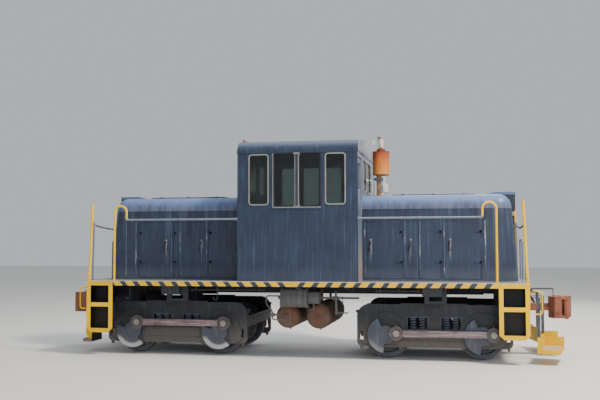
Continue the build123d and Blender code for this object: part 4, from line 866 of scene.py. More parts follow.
# Roof hatches: a black rubber coaming, strap hinges, hold-down bolts and low lifting handles.
hatch = {"from": cabEnd + 0.54, "to": deckEnd - 0.9, "half": 0.352, "wall": 0.02, "rise": 0.02, "handle": 0.12,
    "handleHigh": 0.014}
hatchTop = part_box("hood_hatches")[1].z
for end, endName in ends:
    x0, x1, wall, half = hatch["from"], hatch["to"], hatch["wall"], hatch["half"]
    bm = bmesh.new()
    for side in (-1, 1):
        addBlock(bm, (end * (x0 - 0.022), side * half, hoodTop - 0.002), (end * (x1 + 0.022),
            side * (half + wall), hoodTop + hatch["rise"]), 0.004, 2)
        for x in (x0 + 0.18, (x0 + x1) / 2, x1 - 0.18):
            addBlock(bm, (end * (x - 0.02), side * 0.3, hatchTop - 0.001), (end * (x + 0.02), side * 0.362,
                hatchTop + 0.006), 0.002)
            addTube(bm, [(end * (x - 0.03), side * 0.364, hoodTop + 0.029), (end * (x + 0.03), side * 0.364,
                hoodTop + 0.029)], 0.008, 8)
            addBolt(bm, (end * x, side * 0.322, hatchTop + 0.006), (0, 0, 1), 0.014, 1)
        for x in (x0 + 0.38, x1 - 0.38):
            a, b = x - hatch["handle"] / 2, x + hatch["handle"] / 2
            foot, grip = hatchTop - 0.002, hatchTop + hatch["handleHigh"]
            addTube(bm, roundedPath([(end * a, side * 0.1, foot), (end * a, side * 0.1, grip), (end * b,
                side * 0.1, grip), (end * b, side * 0.1, foot)], 0.008, 3), 0.005, 8)
    for x in (x0 - 0.022, x1 + 0.006):
        addBlock(bm, (end * x, -half - 0.018, hoodTop - 0.002), (end * (x + 0.016), half + 0.018,
            hoodTop + hatch["rise"]), 0.004, 2)
    middle = (x0 + x1) / 2
    addBlock(bm, (end * (middle - 0.012), -0.345, hatchTop - 0.001), (end * (middle + 0.012), 0.345,
        hatchTop + 0.004), 0.001)
    makePiece("hatchTrim_" + endName, bm, [hoodPaint, zincSteel, rubber], "locomotive")
print("hatches")

# Radiator front: a bolted border frame, a crimped wire screen 50 mm apart and the fan's guard ring behind it.
radiatorFront = {"foot": deckEnd - 0.13, "lean": 0.126, "low": rail + 1.6, "high": rail + 2.54, "half": 0.43,
    "border": 0.045, "borderThick": 0.006, "wire": 0.0022, "uprights": 18, "crossWires": 20, "ring": 0.34,
    "ringDepth": 0.06}


def noseX(z):
    return radiatorFront["foot"] - radiatorFront["lean"] * (z - deckTop) / (hoodTop - deckTop)


for end, endName in ends:
    look = radiatorFront
    low, high, half, border = look["low"], look["high"], look["half"], look["border"]
    slope = Vector((end * (noseX(high) - noseX(low)), 0, high - low)).normalized()
    out = Vector((end * slope.z, 0, -end * slope.x))

    def onNose(y, z, off):
        return Vector((end * noseX(z), y, z)) + out * off

    bm = bmesh.new()
    for z0, z1, y0, y1 in ((low - border, low, -half - border, half + border), (low, high, -half - border,
        -half), (high, high + border, -half - border, half + border), (low, high, half, half + border)):
        addPlate(bm, [onNose(y, z, 0.0) for y, z in ((y0, z0), (y1, z0), (y1, z1), (y0, z1))],
            out * look["borderThick"])
    for k in range(11):
        for z in (low - border / 2, high + border / 2):
            addBolt(bm, onNose(half * (k / 5 - 1), z, look["borderThick"]), out, 0.016, 1)
        for y in (-half - border / 2, half + border / 2):
            addBolt(bm, onNose(y, low + (high - low) * k / 10, look["borderThick"]), out, 0.016, 1)
    for k in range(look["uprights"]):
        y, off = half * (2 * (k + 0.5) / look["uprights"] - 1), 0.001 + 0.002 * (k % 2)
        addTube(bm, [onNose(y, low - 0.005, off), onNose(y, high + 0.005, off)], look["wire"], 5, mat=2)
    for k in range(look["crossWires"]):
        z = low + (high - low) * (k + 0.5) / look["crossWires"]
        addTube(bm, [onNose(-half - 0.005, z, 0.0), onNose(half + 0.005, z, 0.0)], look["wire"], 5, mat=2)
    turns = [a * pi / 24 for a in range(48)]
    ring = [onNose(look["ring"] * cos(a), (low + high) / 2 + look["ring"] * sin(a), -look["ringDepth"])
        for a in turns]
    addTube(bm, ring, 0.006, 6, closed=True, mat=2)
    makePiece("radiatorScreen_" + endName, bm, [bluePaint, zincSteel, blackPaint], "locomotive")
print("radiator screens")

# Headlights: bezel ring, two spun bowls with bulbs behind the glass, visor sheet and housing bolts.
lampTrim = {"bowlRadius": 0.052, "bowlApart": 0.056, "bowlDepth": 0.046, "bulb": 0.009, "houseHalf": 0.17,
    "houseLong": 0.372, "visorLow": 0.0552, "visorHigh": 0.0605}
glassLow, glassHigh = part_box("headlight_glass")
lampX, lampZ, lampR = glassHigh.x, (glassLow.z + glassHigh.z) / 2, (glassHigh.z - glassLow.z) / 2
houseEnd = deckEnd - 0.148
for end, endName in ends:
    bm = bmesh.new()
    axis = (end, 0, 0)
    r = lampR + 0.001
    addTurned(bm, [(r + 0.004, -0.03), (r + 0.015, -0.028), (r + 0.021, 0.0), (r + 0.017, 0.004), (r + 0.002,
        0.004), (r + 0.002, -0.004), (r + 0.004, -0.03)], (end * (houseEnd - 0.003), 0, lampZ), axis, 40)
    addBoltCircle(bm, (end * (houseEnd + 0.0005), 0, lampZ), axis, lampR + 0.011, 8, 0.01, 1, pi / 8)
    for cx in (-lampTrim["bowlApart"], lampTrim["bowlApart"]):
        back = lampX - 0.016 - lampTrim["bowlDepth"]
        wide, deep = lampTrim["bowlRadius"], lampTrim["bowlDepth"]
        curve = [(wide * sqrt(s), deep * s) for s in (0.05, 0.15, 0.3, 0.5, 0.75, 1.0)]
        skin = [(r0 + 0.003, d - 0.002) for r0, d in reversed(curve)]
        addTurned(bm, curve + skin, (end * back, cx, lampZ), axis, 28, 2)
        addTurned(bm, [(0.0, 0.004), (0.006, 0.006), (lampTrim["bulb"], 0.016), (0.006, 0.026), (0.0, 0.028)],
            (end * back, cx, lampZ), axis, 12, 3)
    for side in (-1, 1):
        for inset in (0.04, 0.14, 0.24, 0.34):
            addBolt(bm, (end * (houseEnd - inset), side * lampTrim["houseHalf"], hoodTop + 0.025), (0, side, 0),
                0.012, 1)
    addBlock(bm, (end * (houseEnd - lampTrim["houseLong"]), -0.171, hoodTop + lampTrim["visorLow"]),
        (end * (houseEnd + 0.002), 0.171, hoodTop + lampTrim["visorHigh"]), 0.002)
    makePiece("lampTrim_" + endName, bm, [hoodPaint, zincSteel, lampBowl, lampGlass], "locomotive")
print("headlights")

# Exhaust stacks: foot bolts, a clamp band at the silencer's neck, end beads, flange bolts, the rain flap's
# hinge.
stackTrim = {"rightX": cabEnd + 0.283, "leftX": -cabEnd - 0.21, "neckOff": 0.042, "neckRadius": 0.049,
    "clampLow": rail + 3.255, "clampRadius": 0.082, "drumRadius": 0.16, "drumLow": rail + 3.357,
    "drumHigh": rail + 3.809, "flangeTop": rail + 3.855, "tailRadius": 0.047, "pipeX": cabEnd + 0.118}
clampGrey = weatheredPaint("clampGreySteel", dict(greyPaintLook, color="#8b9096", deep="#5d6166", rust=0.4))[0]
for x, stackName in ((stackTrim["rightX"], "right"), (stackTrim["leftX"], "left")):
    bm = bmesh.new()
    neck, up = x - stackTrim["neckOff"], (0, 0, 1)
    addBoltCircle(bm, (neck, 0, hoodTop + 0.014), up, 0.074, 6, 0.016, start=0.2)
    r, low = stackTrim["clampRadius"], stackTrim["clampLow"]
    addTurned(bm, bandForm(r - 0.004, r + 0.003, -0.004, 0.049), (neck, 0, low), up, 28, 2)
    addBlock(bm, (neck - 0.108, -0.018, low + 0.007), (neck - 0.076, 0.018, low + 0.038), 0.003, 2)
    addBolt(bm, (neck - 0.096, -0.018, low + 0.023), (0, -1, 0), 0.014, 2)
    r = stackTrim["neckRadius"]
    addTurned(bm, [(r, 0.0), (r + 0.01, 0.003), (r + 0.006, 0.012), (r, 0.014)], (neck, 0,
        stackTrim["drumLow"] - 0.013), up, 24)
    r = stackTrim["drumRadius"]
    for z in (stackTrim["drumLow"], stackTrim["drumHigh"] - 0.01):
        addTurned(bm, bandForm(r - 0.002, r + 0.004, 0.0, 0.01), (x, 0, z), up, 36)
    for z in (rail + 3.47, rail + 3.69):
        addTurned(bm, bandForm(r - 0.0005, r + 0.0016, 0.0, 0.02), (x, 0, z), up, 36)
    addBoltCircle(bm, (x, 0, stackTrim["flangeTop"]), up, 0.066, 8, 0.013)
    r = stackTrim["tailRadius"]
    addTurned(bm, bandForm(r - 0.001, r + 0.004, 0.0, 0.014), (x, 0, rail + 4.062), up, 28)
    addTube(bm, [(x - 0.054, -0.03, rail + 4.085), (x - 0.054, 0.03, rail + 4.085)], 0.006, 10)
    addBolt(bm, (x - 0.14, -0.022, rail + 3.995), (0, -1, 0), 0.014)
    if x > 0:
        # thin sensing pipe rising beside the neck and turned in to the cab
        pipeX = stackTrim["pipeX"]
        addTube(bm, roundedPath([(pipeX, -0.1, hoodTop), (pipeX, -0.1, rail + 3.24), (pipeX - 0.022, -0.1,
            rail + 3.247), (cabEnd + 0.02, -0.1, rail + 3.247)], 0.02, 4), 0.012, 10, mat=1)
        addBlock(bm, (cabEnd, -0.125, rail + 3.225), (cabEnd + 0.03, -0.075, rail + 3.27), 0.003, mat=1)
    makePiece("stackTrim_" + stackName, bm, [exhaustSteel, silverPaint, clampGrey], "locomotive")
print("stacks")

# Bell: clapper, crown nut, two turned rings over the lip, yoke pins and foot bolts.
bellTrim = {"x": cabEnd + 0.362, "y": -0.23, "lip": hoodTop + 0.072, "crown": hoodTop + 0.35, "clapper": 0.017}
bellX, bellY = bellTrim["x"], bellTrim["y"]
bm = bmesh.new()
addTube(bm, [(bellX, bellY, hoodTop + 0.2), (bellX + 0.004, bellY, bellTrim["lip"])], 0.006, 8)
r = bellTrim["clapper"]
addTurned(bm, [(0.0, 0.0), (r - 0.004, 0.006), (r, 0.018), (r - 0.004, 0.03), (0.0, 0.036)], (bellX + 0.004,
    bellY, bellTrim["lip"] - 0.03), (0, 0, 1), 14)
addTurned(bm, [(0.022, 0.0), (0.022, 0.012), (0.012, 0.018), (0.0, 0.018)], (bellX, bellY, bellTrim["crown"]),
    (0, 0, 1), 6)
for height, r in ((0.013, 0.0878), (0.036, 0.0834)):
    addTurned(bm, bandForm(r - 0.002, r + 0.002, 0.0, 0.006), (bellX, bellY, bellTrim["lip"] + height),
        (0, 0, 1), 30)
for side in (-1, 1):
    addBolt(bm, (bellX, bellY + side * 0.108, hoodTop + 0.318), (0, side, 0), 0.022)
    for dx in (-0.018, 0.018):
        addBolt(bm, (bellX + dx, bellY + side * 0.128, hoodTop + 0.008), (0, 0, 1), 0.013)
makePiece("bellTrim", bm, [silverPaint], "locomotive")
print("bell")

# Cab: drip rails, roof seams, corner cover strips and rivet rows.
cabTrim = {"wallTop": rail + 3.687, "crown": rail + 4.000, "shoulder": 0.22, "dripDepth": 0.008, "strip": 0.022,
    "rivetPitch": 0.135, "panelJoints": (-0.46, 0.46)}
bm = bmesh.new()
dripZ = cabTrim["wallTop"] - 0.004
for side in (-1, 1):
    y = side * cabSide
    addBlock(bm, (-cabEnd - 0.01, y, dripZ - 0.006), (cabEnd + 0.01, y + side * cabTrim["dripDepth"],
        dripZ + 0.006), 0.002)
    for end in (-1, 1):
        addBlock(bm, (end * (cabEnd - cabTrim["strip"]), y, deckTop + 0.01), (end * cabEnd, y + side * 0.003,
            dripZ - 0.01), 0.001)
        for k in range(17):
            addRivet(bm, (end * (cabEnd - 0.036), y, deckTop + 0.1 + k * cabTrim["rivetPitch"]), (0, side, 0),
                0.011)
    for x in cabTrim["panelJoints"]:
        addBlock(bm, (x - 0.009, y, deckTop + 0.02), (x + 0.009, y + side * 0.0022, rail + 2.655), 0.001)
    addBlock(bm, (-cabEnd + 0.03, y, deckTop + 0.004), (cabEnd - 0.03, y + side * 0.005, deckTop + 0.028),
        0.001)
    for k in range(30):
        addRivet(bm, (-cabEnd + 0.075 + k * 0.067, y, dripZ - 0.016), (0, side, 0), 0.008)
for end in (-1, 1):
    x = end * cabEnd
    for y in (-cabSide + 0.015, cabSide - 0.015):
        addBlock(bm, (x, y - 0.011, deckTop + 0.02), (x + end * 0.004, y + 0.011, rail + 3.67), 0.001)
    for k in range(20):
        addRivet(bm, (x, -1.24 + k * 2.48 / 19, rail + 3.655), (end, 0, 0), 0.01)
# the seams follow the crown arc and both shoulders
shoulder, rise = cabTrim["shoulder"], cabTrim["crown"] - cabTrim["wallTop"]
shoulderY = cabSide - shoulder
crownR = (shoulderY ** 2 + rise ** 2 - shoulder ** 2) / (2 * (rise - shoulder))
meet = atan2(shoulderY, crownR - rise)
for x, thick in ((-cabEnd - 0.007, 0.0045), (-0.37, 0.003), (0.37, 0.003), (cabEnd + 0.007, 0.0045)):
    half = [(shoulderY + shoulder * cos(a), cabTrim["wallTop"] + shoulder * sin(a))
        for a in [(pi / 2 - meet) * i / 8 for i in range(9)]]
    half += [(crownR * sin(a), cabTrim["crown"] - crownR + crownR * cos(a)) for a in [meet * (1 - i / 12)
        for i in range(1, 13)]]
    arc = [(x, y, z - thick * 0.6) for y, z in half] + [(x, -y, z - thick * 0.6) for y,
        z in reversed(half[:-1])]
    addTube(bm, arc, thick, 6)
makePiece("cabTrim", bm, [bluePaint], "locomotive")

# Windows: rubber glazing strips, the middle pair's sliding sashes with sill, meeting rail and pulls, wipers.
sideWindow = {"narrowX": 0.703, "narrowWide": 0.378, "narrow": (rail + 2.733, rail + 3.664), "corner": 0.065,
    "half": 0.445, "wide": (rail + 2.685, rail + 3.682), "bar": 0.022, "rubber": 0.005}
endWindow = {"y": 0.365, "wide": 0.62, "low": rail + 3.01, "high": rail + 3.62, "wiperZ": rail + 3.64}
rubberEdges, sashes = bmesh.new(), bmesh.new()
bar, bead, half = sideWindow["bar"], sideWindow["rubber"], sideWindow["half"]
xWay, yWay, zWay = (1, 0, 0), (0, 1, 0), (0, 0, 1)
for side in (-1, 1):
    faceY, out = side * cabSide, (0, side, 0)
    for end in (-1, 1):
        low, top = sideWindow["narrow"]
        x, z, wide, high = end * sideWindow["narrowX"], (low + top) / 2, sideWindow["narrowWide"], top - low
        loop = roundedLoop((x, faceY - side * 0.014, z), xWay, zWay, wide - 2 * bar, high - 2 * bar,
            sideWindow["corner"] - bar, 4)
        addTube(rubberEdges, loop, bead, 6, closed=True)
        for spot in roundedLoop((x, faceY + side * 0.008, z), xWay, zWay, wide - bar, high - bar,
            sideWindow["corner"] - bar / 2, 2):
            addRivet(sashes, spot, out, 0.007)
    low, top = sideWindow["wide"]
    z, high = (low + top) / 2, top - low - 2 * bar
    for end in (-1, 1):
        x, wide = end * half / 2, half - 2 * bar
        for inset, depth, r, form in ((0.004, -0.014, bead, rubberEdges), (0.013, -0.007, 0.0075, sashes)):
            loop = roundedLoop((x, faceY + side * depth, z), xWay, zWay, wide - 2 * inset, high - 2 * inset,
                0.012, 3)
            addTube(form, loop, r, 6, closed=True)
        pull = [(end * 0.1, faceY + side * depth, z + dz) for depth, dz in ((-0.002, -0.05), (0.008, -0.05),
            (0.008, 0.05), (-0.002, 0.05))]
        addTube(sashes, roundedPath(pull, 0.006, 2), 0.0014, 6)
    addBlock(sashes, (-half - 0.015, faceY - side * 0.002, low - 0.022), (half + 0.015, faceY + side * 0.0085,
        low - 0.004), 0.003, 1)
    addBlock(sashes, (-0.02, faceY - side * 0.03, low + 0.03), (0.02, faceY + side * 0.0095, top - 0.03), 0.003,
        1)
low, top, wiperZ = endWindow["low"], endWindow["high"], endWindow["wiperZ"]
for end in (-1, 1):
    for side in (-1, 1):
        y, x = side * endWindow["y"], end * cabEnd
        loop = roundedLoop((x - end * 0.014, y, (low + top) / 2), yWay, zWay, endWindow["wide"] - 2 * bar,
            top - low - 2 * bar, 0.043, 4)
        addTube(rubberEdges, loop, bead, 6, closed=True)
        # wiper: motor cap, arm and blade
        addTurned(sashes, [(0.0, 0.0), (0.02, 0.0), (0.018, 0.014), (0.0, 0.018)], (x, y, wiperZ), (end, 0, 0),
            14)
        addTube(sashes, [(x + end * 0.012, y, wiperZ), (x + end * 0.01, y + 0.13, rail + 3.36)], 0.0035, 6)
        addBlock(rubberEdges, (x + end * 0.007, y + 0.126, rail + 3.16), (x + end * 0.013, y + 0.134,
            rail + 3.5), 0.001)
makePiece("windowRubbers", rubberEdges, [rubber], "locomotive")
makePiece("windowSashes", sashes, [aluminium, bluePaint], "locomotive")

# Cab end doors: pane with its rubber, kick and belt plates with rivets, all swinging with the door.
cabDoor = {"mid": 1.05, "face": cabEnd - 0.05, "paneLow": rail + 2.995, "paneUnderTop": 0.095, "paneWide": 0.33,
    "corner": 0.06, "plateHalf": 0.17, "kickLow": 0.1, "kickHigh": 0.42, "beltLow": rail + 2.62,
    "beltHigh": rail + 2.66}
for end, side, endName in ((1, -1, "right"), (-1, 1, "left")):
    low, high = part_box("cab_door_" + endName)
    bm = bmesh.new()
    face, midY, half = end * cabDoor["face"], side * cabDoor["mid"], cabDoor["plateHalf"]
    paneHigh = high.z - cabDoor["paneUnderTop"]
    z, tall, wide = (cabDoor["paneLow"] + paneHigh) / 2, paneHigh - cabDoor["paneLow"], cabDoor["paneWide"]
    pane = roundedLoop((face - end * 0.018, midY, z), (0, 1, 0), (0, 0, 1), wide - 0.012, tall - 0.012, 0.055,
        5)
    addPlate(bm, pane, (end * 0.006, 0, 0), 0)
    for depth in (0.002, 0.032):
        loop = roundedLoop((face - end * depth, midY, z), (0, 1, 0), (0, 0, 1), wide + 0.008, tall + 0.008,
            cabDoor["corner"], 5)
        addTube(bm, loop, 0.008, 8, closed=True, mat=1)
    for plateLow, plateHigh in ((low.z + cabDoor["kickLow"], low.z + cabDoor["kickHigh"]), (cabDoor["beltLow"],
        cabDoor["beltHigh"])):
        addBlock(bm, (face, midY - half, plateLow), (face + end * 0.002, midY + half, plateHigh), 0.001, 2)
    for k in range(8):
        addRivet(bm, (face + end * 0.002, midY - 0.155 + k * 0.31 / 7, low.z + 0.4), (end, 0, 0), 0.01, 3)
    makePiece("cabDoorTrim_" + endName, bm, [glass, rubber, aluminium, zincSteel], "cab_door_" + endName)
print("cab trim")

# Corner steps: raised tread bars on each step and bolts down the straps.
stepTrim = {"inner": deckEnd - 0.512, "outer": deckEnd, "treads": (rail + 0.475, rail + 0.952), "bars": 9,
    "bar": 0.008, "boltHeights": (rail + 0.62, rail + 0.8, rail + 1.08, rail + 1.2)}
bm = bmesh.new()
for end in (-1, 1):
    for side in (-1, 1):
        x0, x1, half = stepTrim["inner"], stepTrim["outer"], stepTrim["bar"]
        for top in stepTrim["treads"]:
            for k in range(stepTrim["bars"]):
                x = x0 + 0.045 + k * (x1 - x0 - 0.09) / (stepTrim["bars"] - 1)
                addBlock(bm, (end * (x - half), side * (deckSide - 0.135), top - 0.001), (end * (x + half),
                    side * (deckSide - 0.016), top + 0.005), 0.002)
        for x in (x0 + 0.037, x1 - 0.037):
            for z in stepTrim["boltHeights"]:
                addBolt(bm, (end * x, side * (deckSide - 0.012), z), (0, -side, 0), 0.016)
makePiece("stepTreads", bm, [blackPaint], "locomotive")

# Footboards: worn chequer bars on the trays, bolts through the back plates, and the hangers' bracket bolts.
boardTrim = {"foot": deckEnd + 0.13, "rows": ((1, 0.155, 0.44, 0.36, 11.0), (-1, 0.49, 0.44, 0.17, 0.0)),
    "top": rail + 0.225, "bars": 7, "rise": 0.004}
bootWorn = weatheredPaint("bootWornSteel", dict(greyPaintLook, color="#b9aeae", deep="#8e8280",
    bleach="#d9d0ce", topColor="#cbbfbc", topShare=0.8, dust=0.5, dustColor="#9a8a82", rustFrom=0.6))[0]
bm = bmesh.new()
for end, inset, innerY, depth, skew in boardTrim["rows"]:
    for side in (-1, 1):
        x0, outerY = boardTrim["foot"], deckSide - inset
        turn = radians(skew)

        def onBoard(x, y, z):
            dx, dy = x - x0, y - outerY
            return Vector((end * (x0 + dx * cos(turn) - dy * sin(turn)), side * (outerY + dx * sin(turn)
                + dy * cos(turn)), z))

        bars, long = boardTrim["bars"], outerY - innerY
        for k in range(bars):
            x = x0 + 0.012 + (depth - 0.03) * (k + 0.5) / bars
            half = (depth - 0.03) / bars * 0.3
            corners = [(x - half, innerY + 0.016), (x + half, innerY + 0.016), (x + half, outerY - 0.018),
                (x - half, outerY - 0.018)]
            addPlate(bm, [onBoard(cx, cy, boardTrim["top"] - 0.001) for cx, cy in corners],
                (0, 0, boardTrim["rise"]))
        away = (onBoard(x0 + 1.0, outerY, 0.0) - onBoard(x0, outerY, 0.0)).normalized()
        for k in range(6):
            y = innerY + 0.06 + k * (long - 0.12) / 5
            for z in (rail + 0.3, rail + 0.405):
                addBolt(bm, onBoard(x0 + 0.0015, y, z), away, 0.018, 1)
        for y in (outerY - 0.06, innerY + 0.12):
            hangX = x0 + (outerY - y) * sin(turn) - 0.02
            for z in (rail + 0.55, rail + 0.9):
                addBolt(bm, (end * (hangX + 0.028), side * (y + 0.012), z), (0, side, 0), 0.018, 2)
            for dx in (-0.09, -0.03):
                addBolt(bm, (end * (hangX + dx + 0.02), side * (y + 0.001), rail + 1.11), (0, 0, 1), 0.018, 2)
makePiece("footboardTreads", bm, [bootWorn, yellowPaint, blackPaint], "locomotive")
print("steps and footboards")

# Frame details under the sill: stiffener gussets, hanging hooks, clipped air pipes with unions.
underSill = {"pipeY": 1.245, "pipeZ": rail + 1.2, "pipeR": 0.014, "hookR": 0.01, "hooks": (-3.196, -1.496),
    "runs": ((1.378, 2.24), (-2.02, -0.62)), "gussetPitch": 0.66, "clearOfBogie": 0.36}
bm = bmesh.new()
pipeZ, pipeR = underSill["pipeZ"], underSill["pipeR"]
for x in underSill["hooks"]:
    bends = ((0, sillLow + 0.004), (0, rail + 1.045), (0.03, rail + 1.012), (0.075, rail + 1.03), (0.078,
        rail + 1.075))
    addTube(bm, roundedPath([(x - dx, -1.3, z) for dx, z in bends], 0.03, 4), underSill["hookR"], 8)
for side in (-1, 1):
    y = side * underSill["pipeY"]
    for a, b in underSill["runs"]:
        addTube(bm, [(a, y, pipeZ), (b, y, pipeZ)], pipeR, 10)
        clips = int((b - a) / 0.42) + 1
        for k in range(clips):
            x = a + 0.1 + k * (b - a - 0.2) / max(1, clips - 1)
            addBlock(bm, (x - 0.012, y - 0.02, pipeZ - 0.018), (x + 0.012, y + 0.02, sillLow + 0.002), 0.003)
        for x in (a + 0.03, b - 0.03):
            addTurned(bm, bandForm(0.014, 0.022, -0.024, 0.024, 0.004), (x, y, pipeZ), (1, 0, 0), 6)
    for k in range(11):
        x = underSill["gussetPitch"] * (k - 5)
        if abs(abs(x) - bogieX) > underSill["clearOfBogie"]:
            addPlate(bm, [(x - 0.005, side * (deckSide - 0.042), sillLow + 0.075), (x - 0.005,
                side * (deckSide - 0.16), sillLow + 0.075), (x - 0.005, side * (deckSide - 0.042),
                sillLow + 0.004)], (0.01, 0, 0))
makePiece("underSillFittings", bm, [blackPaint], "locomotive")

# Cable duct and two air pipes along the far side, hung from the deck on straps.
duct = {"y": 1.135, "half": 0.024, "low": rail + 1.015, "high": rail + 1.14, "reach": 3.3, "hangers": 9,
    "pipes": ((1.195, rail + 1.165, 0.019), (1.065, rail + 1.17, 0.015))}
reach, low, high = duct["reach"], duct["low"], duct["high"]
innerY, outerY = duct["y"] - duct["half"], duct["y"] + duct["half"]
bm = bmesh.new()
addBlock(bm, (-reach, innerY, low), (reach, outerY, high), 0.004)
addBlock(bm, (-reach - 0.002, innerY - 0.004, high), (reach + 0.002, outerY + 0.004, high + 0.006), 0.002)
for k in range(duct["hangers"]):
    x = reach * 0.96 * (2 * k / (duct["hangers"] - 1) - 1)
    addBlock(bm, (x - 0.016, outerY, low + 0.02), (x + 0.016, outerY + 0.006, sillLow + 0.08), 0.002)
    for z in (low + 0.045, high - 0.03):
        addBolt(bm, (x, outerY + 0.006, z), (0, 1, 0), 0.014)
for y, z, r in duct["pipes"]:
    addTube(bm, [(-reach - 0.06, y, z), (reach + 0.06, y, z)], r, 12)
makePiece("cableDuct", bm, [blackPaint], "locomotive")

# Brake cylinder: flange bolts, stiffening rings, the slack adjuster lever with its rods, and the cock's pipe
# loop.
brakeGear = {"y": -1.08, "z": rail + 1.062, "radius": 0.178, "rings": (-0.235, -0.135, -0.035, 0.065),
    "bolts": 10, "pipe": 0.013, "lever": 0.663}
cylY, cylZ, r = brakeGear["y"], brakeGear["z"], brakeGear["radius"]
bm = bmesh.new()
for x, out in ((-0.335, -1), (0.15, 1)):
    addBoltCircle(bm, (x, cylY, cylZ), (out, 0, 0), r, brakeGear["bolts"], 0.022)
for x in brakeGear["rings"]:
    addTurned(bm, bandForm(r - 0.002, r + 0.008, 0.0, 0.012), (x, cylY, cylZ), (1, 0, 0), 36)
addTurned(bm, [(0.06, 0.0), (0.06, 0.03), (0.03, 0.045), (0.03, 0.07), (0.0, 0.07)], (-0.335, cylY, cylZ),
    (-1, 0, 0), 20)
pipeY = cylY - 0.07
addTube(bm, roundedPath([(-0.335, cylY - 0.06, cylZ + 0.03), (-0.62, cylY - 0.06, cylZ + 0.03), (-0.62,
    cylY - 0.06, cylZ - 0.12), (-0.5, pipeY, cylZ - 0.24), (-0.5, pipeY, cylZ - 0.4), (-0.22, pipeY,
    cylZ - 0.4)], 0.05), brakeGear["pipe"], 10)
addTube(bm, [(-0.5, pipeY, cylZ - 0.31), (-0.38, pipeY, cylZ - 0.31)], 0.018, 10)
addBlock(bm, (-0.545, pipeY - 0.015, cylZ - 0.345), (-0.455, pipeY + 0.015, cylZ - 0.275), 0.006)
leverX, leverY = brakeGear["lever"], cylY - 0.01
addPlate(bm, [(leverX - 0.023, leverY, cylZ + 0.12), (leverX + 0.009, leverY, cylZ + 0.12), (leverX + 0.027,
    leverY, cylZ - 0.3), (leverX - 0.013, leverY, cylZ - 0.3)], (0, 0.02, 0))
addTube(bm, [(leverX + 0.007, cylY, cylZ - 0.27), (0.87, cylY + 0.06, cylZ - 0.27)], brakeGear["pipe"], 10)
for dz, depth in ((0.09, 0.01), (0.0, 0.034), (-0.27, 0.01)):
    addBolt(bm, (leverX, cylY - depth, cylZ + dz), (0, -1, 0), 0.026)
addTube(bm, roundedPath([(0.25, cylY + 0.02, cylZ - 0.11), (0.25, cylY + 0.02, cylZ - 0.2), (0.1, cylY + 0.14,
    cylZ - 0.24)], 0.04), 0.014, 10)
makePiece("brakeRigging", bm, [dustyPaint], "locomotive")

# Reservoirs: rolled end seams, saddle straps with turnbuckle bolts, end plugs and drain cocks.
tankTrim = {"tanks": ((-0.274, 0.22, rail + 0.706), (0.306, 0.232, rail + 0.714)), "seams": (-0.8, -0.27, 0.27,
    0.8), "straps": (-0.5, 0.5), "endY": 0.925, "plug": 0.045, "drainY": -0.62}
bm = bmesh.new()
for x, r, z in tankTrim["tanks"]:
    for y in tankTrim["seams"]:
        addTurned(bm, bandForm(r - 0.002, r + 0.004, -0.01, 0.01, 0.004), (x, y, z), (0, 1, 0), 40)
    for y in tankTrim["straps"]:
        addTurned(bm, bandForm(r - 0.001, r + 0.003, -0.024, 0.024), (x, y, z), (0, 1, 0), 40)
        for s in (-1, 1):
            rodX = x + s * (r + 0.01)
            addTube(bm, [(rodX, y, z - 0.02), (rodX, y, z + r + 0.05)], 0.008, 8)
            addBlock(bm, (rodX - 0.014, y - 0.02, z - 0.035), (rodX + 0.014, y + 0.02, z - 0.012), 0.003)
    for side in (-1, 1):
        plug, endY = tankTrim["plug"], side * tankTrim["endY"]
        addTurned(bm, [(plug, 0.0), (plug, 0.01), (0.024, 0.012), (0.024, 0.026), (0.0, 0.026)], (x, endY, z),
            (0, side, 0), 20)
        addBoltCircle(bm, (x, endY + side * 0.01, z), (0, side, 0), 0.034, 6, 0.01)
    addTurned(bm, [(0.016, 0.0), (0.016, 0.03), (0.008, 0.035), (0.008, 0.055), (0.0, 0.055)],
        (x, tankTrim["drainY"], z - r), (0, 0, -1), 10)
makePiece("tankTrim", bm, [rustSteel], "locomotive")
print("under the frame")

# Bogies: liners, bolts along the frame plate, rivets on the channel beam, guides, brake hangers and guard bars.
bogieTrim = {"plateY": 0.98, "beamY": 0.988, "hornY": 0.998, "hornRadius": 0.345, "guide": 0.175,
    "hanger": halfBase + 0.519, "liner": 0.014, "guard": ((1.16, 0.215), (1.265, 0.245), (1.337, 0.33), (1.349,
    0.62))}
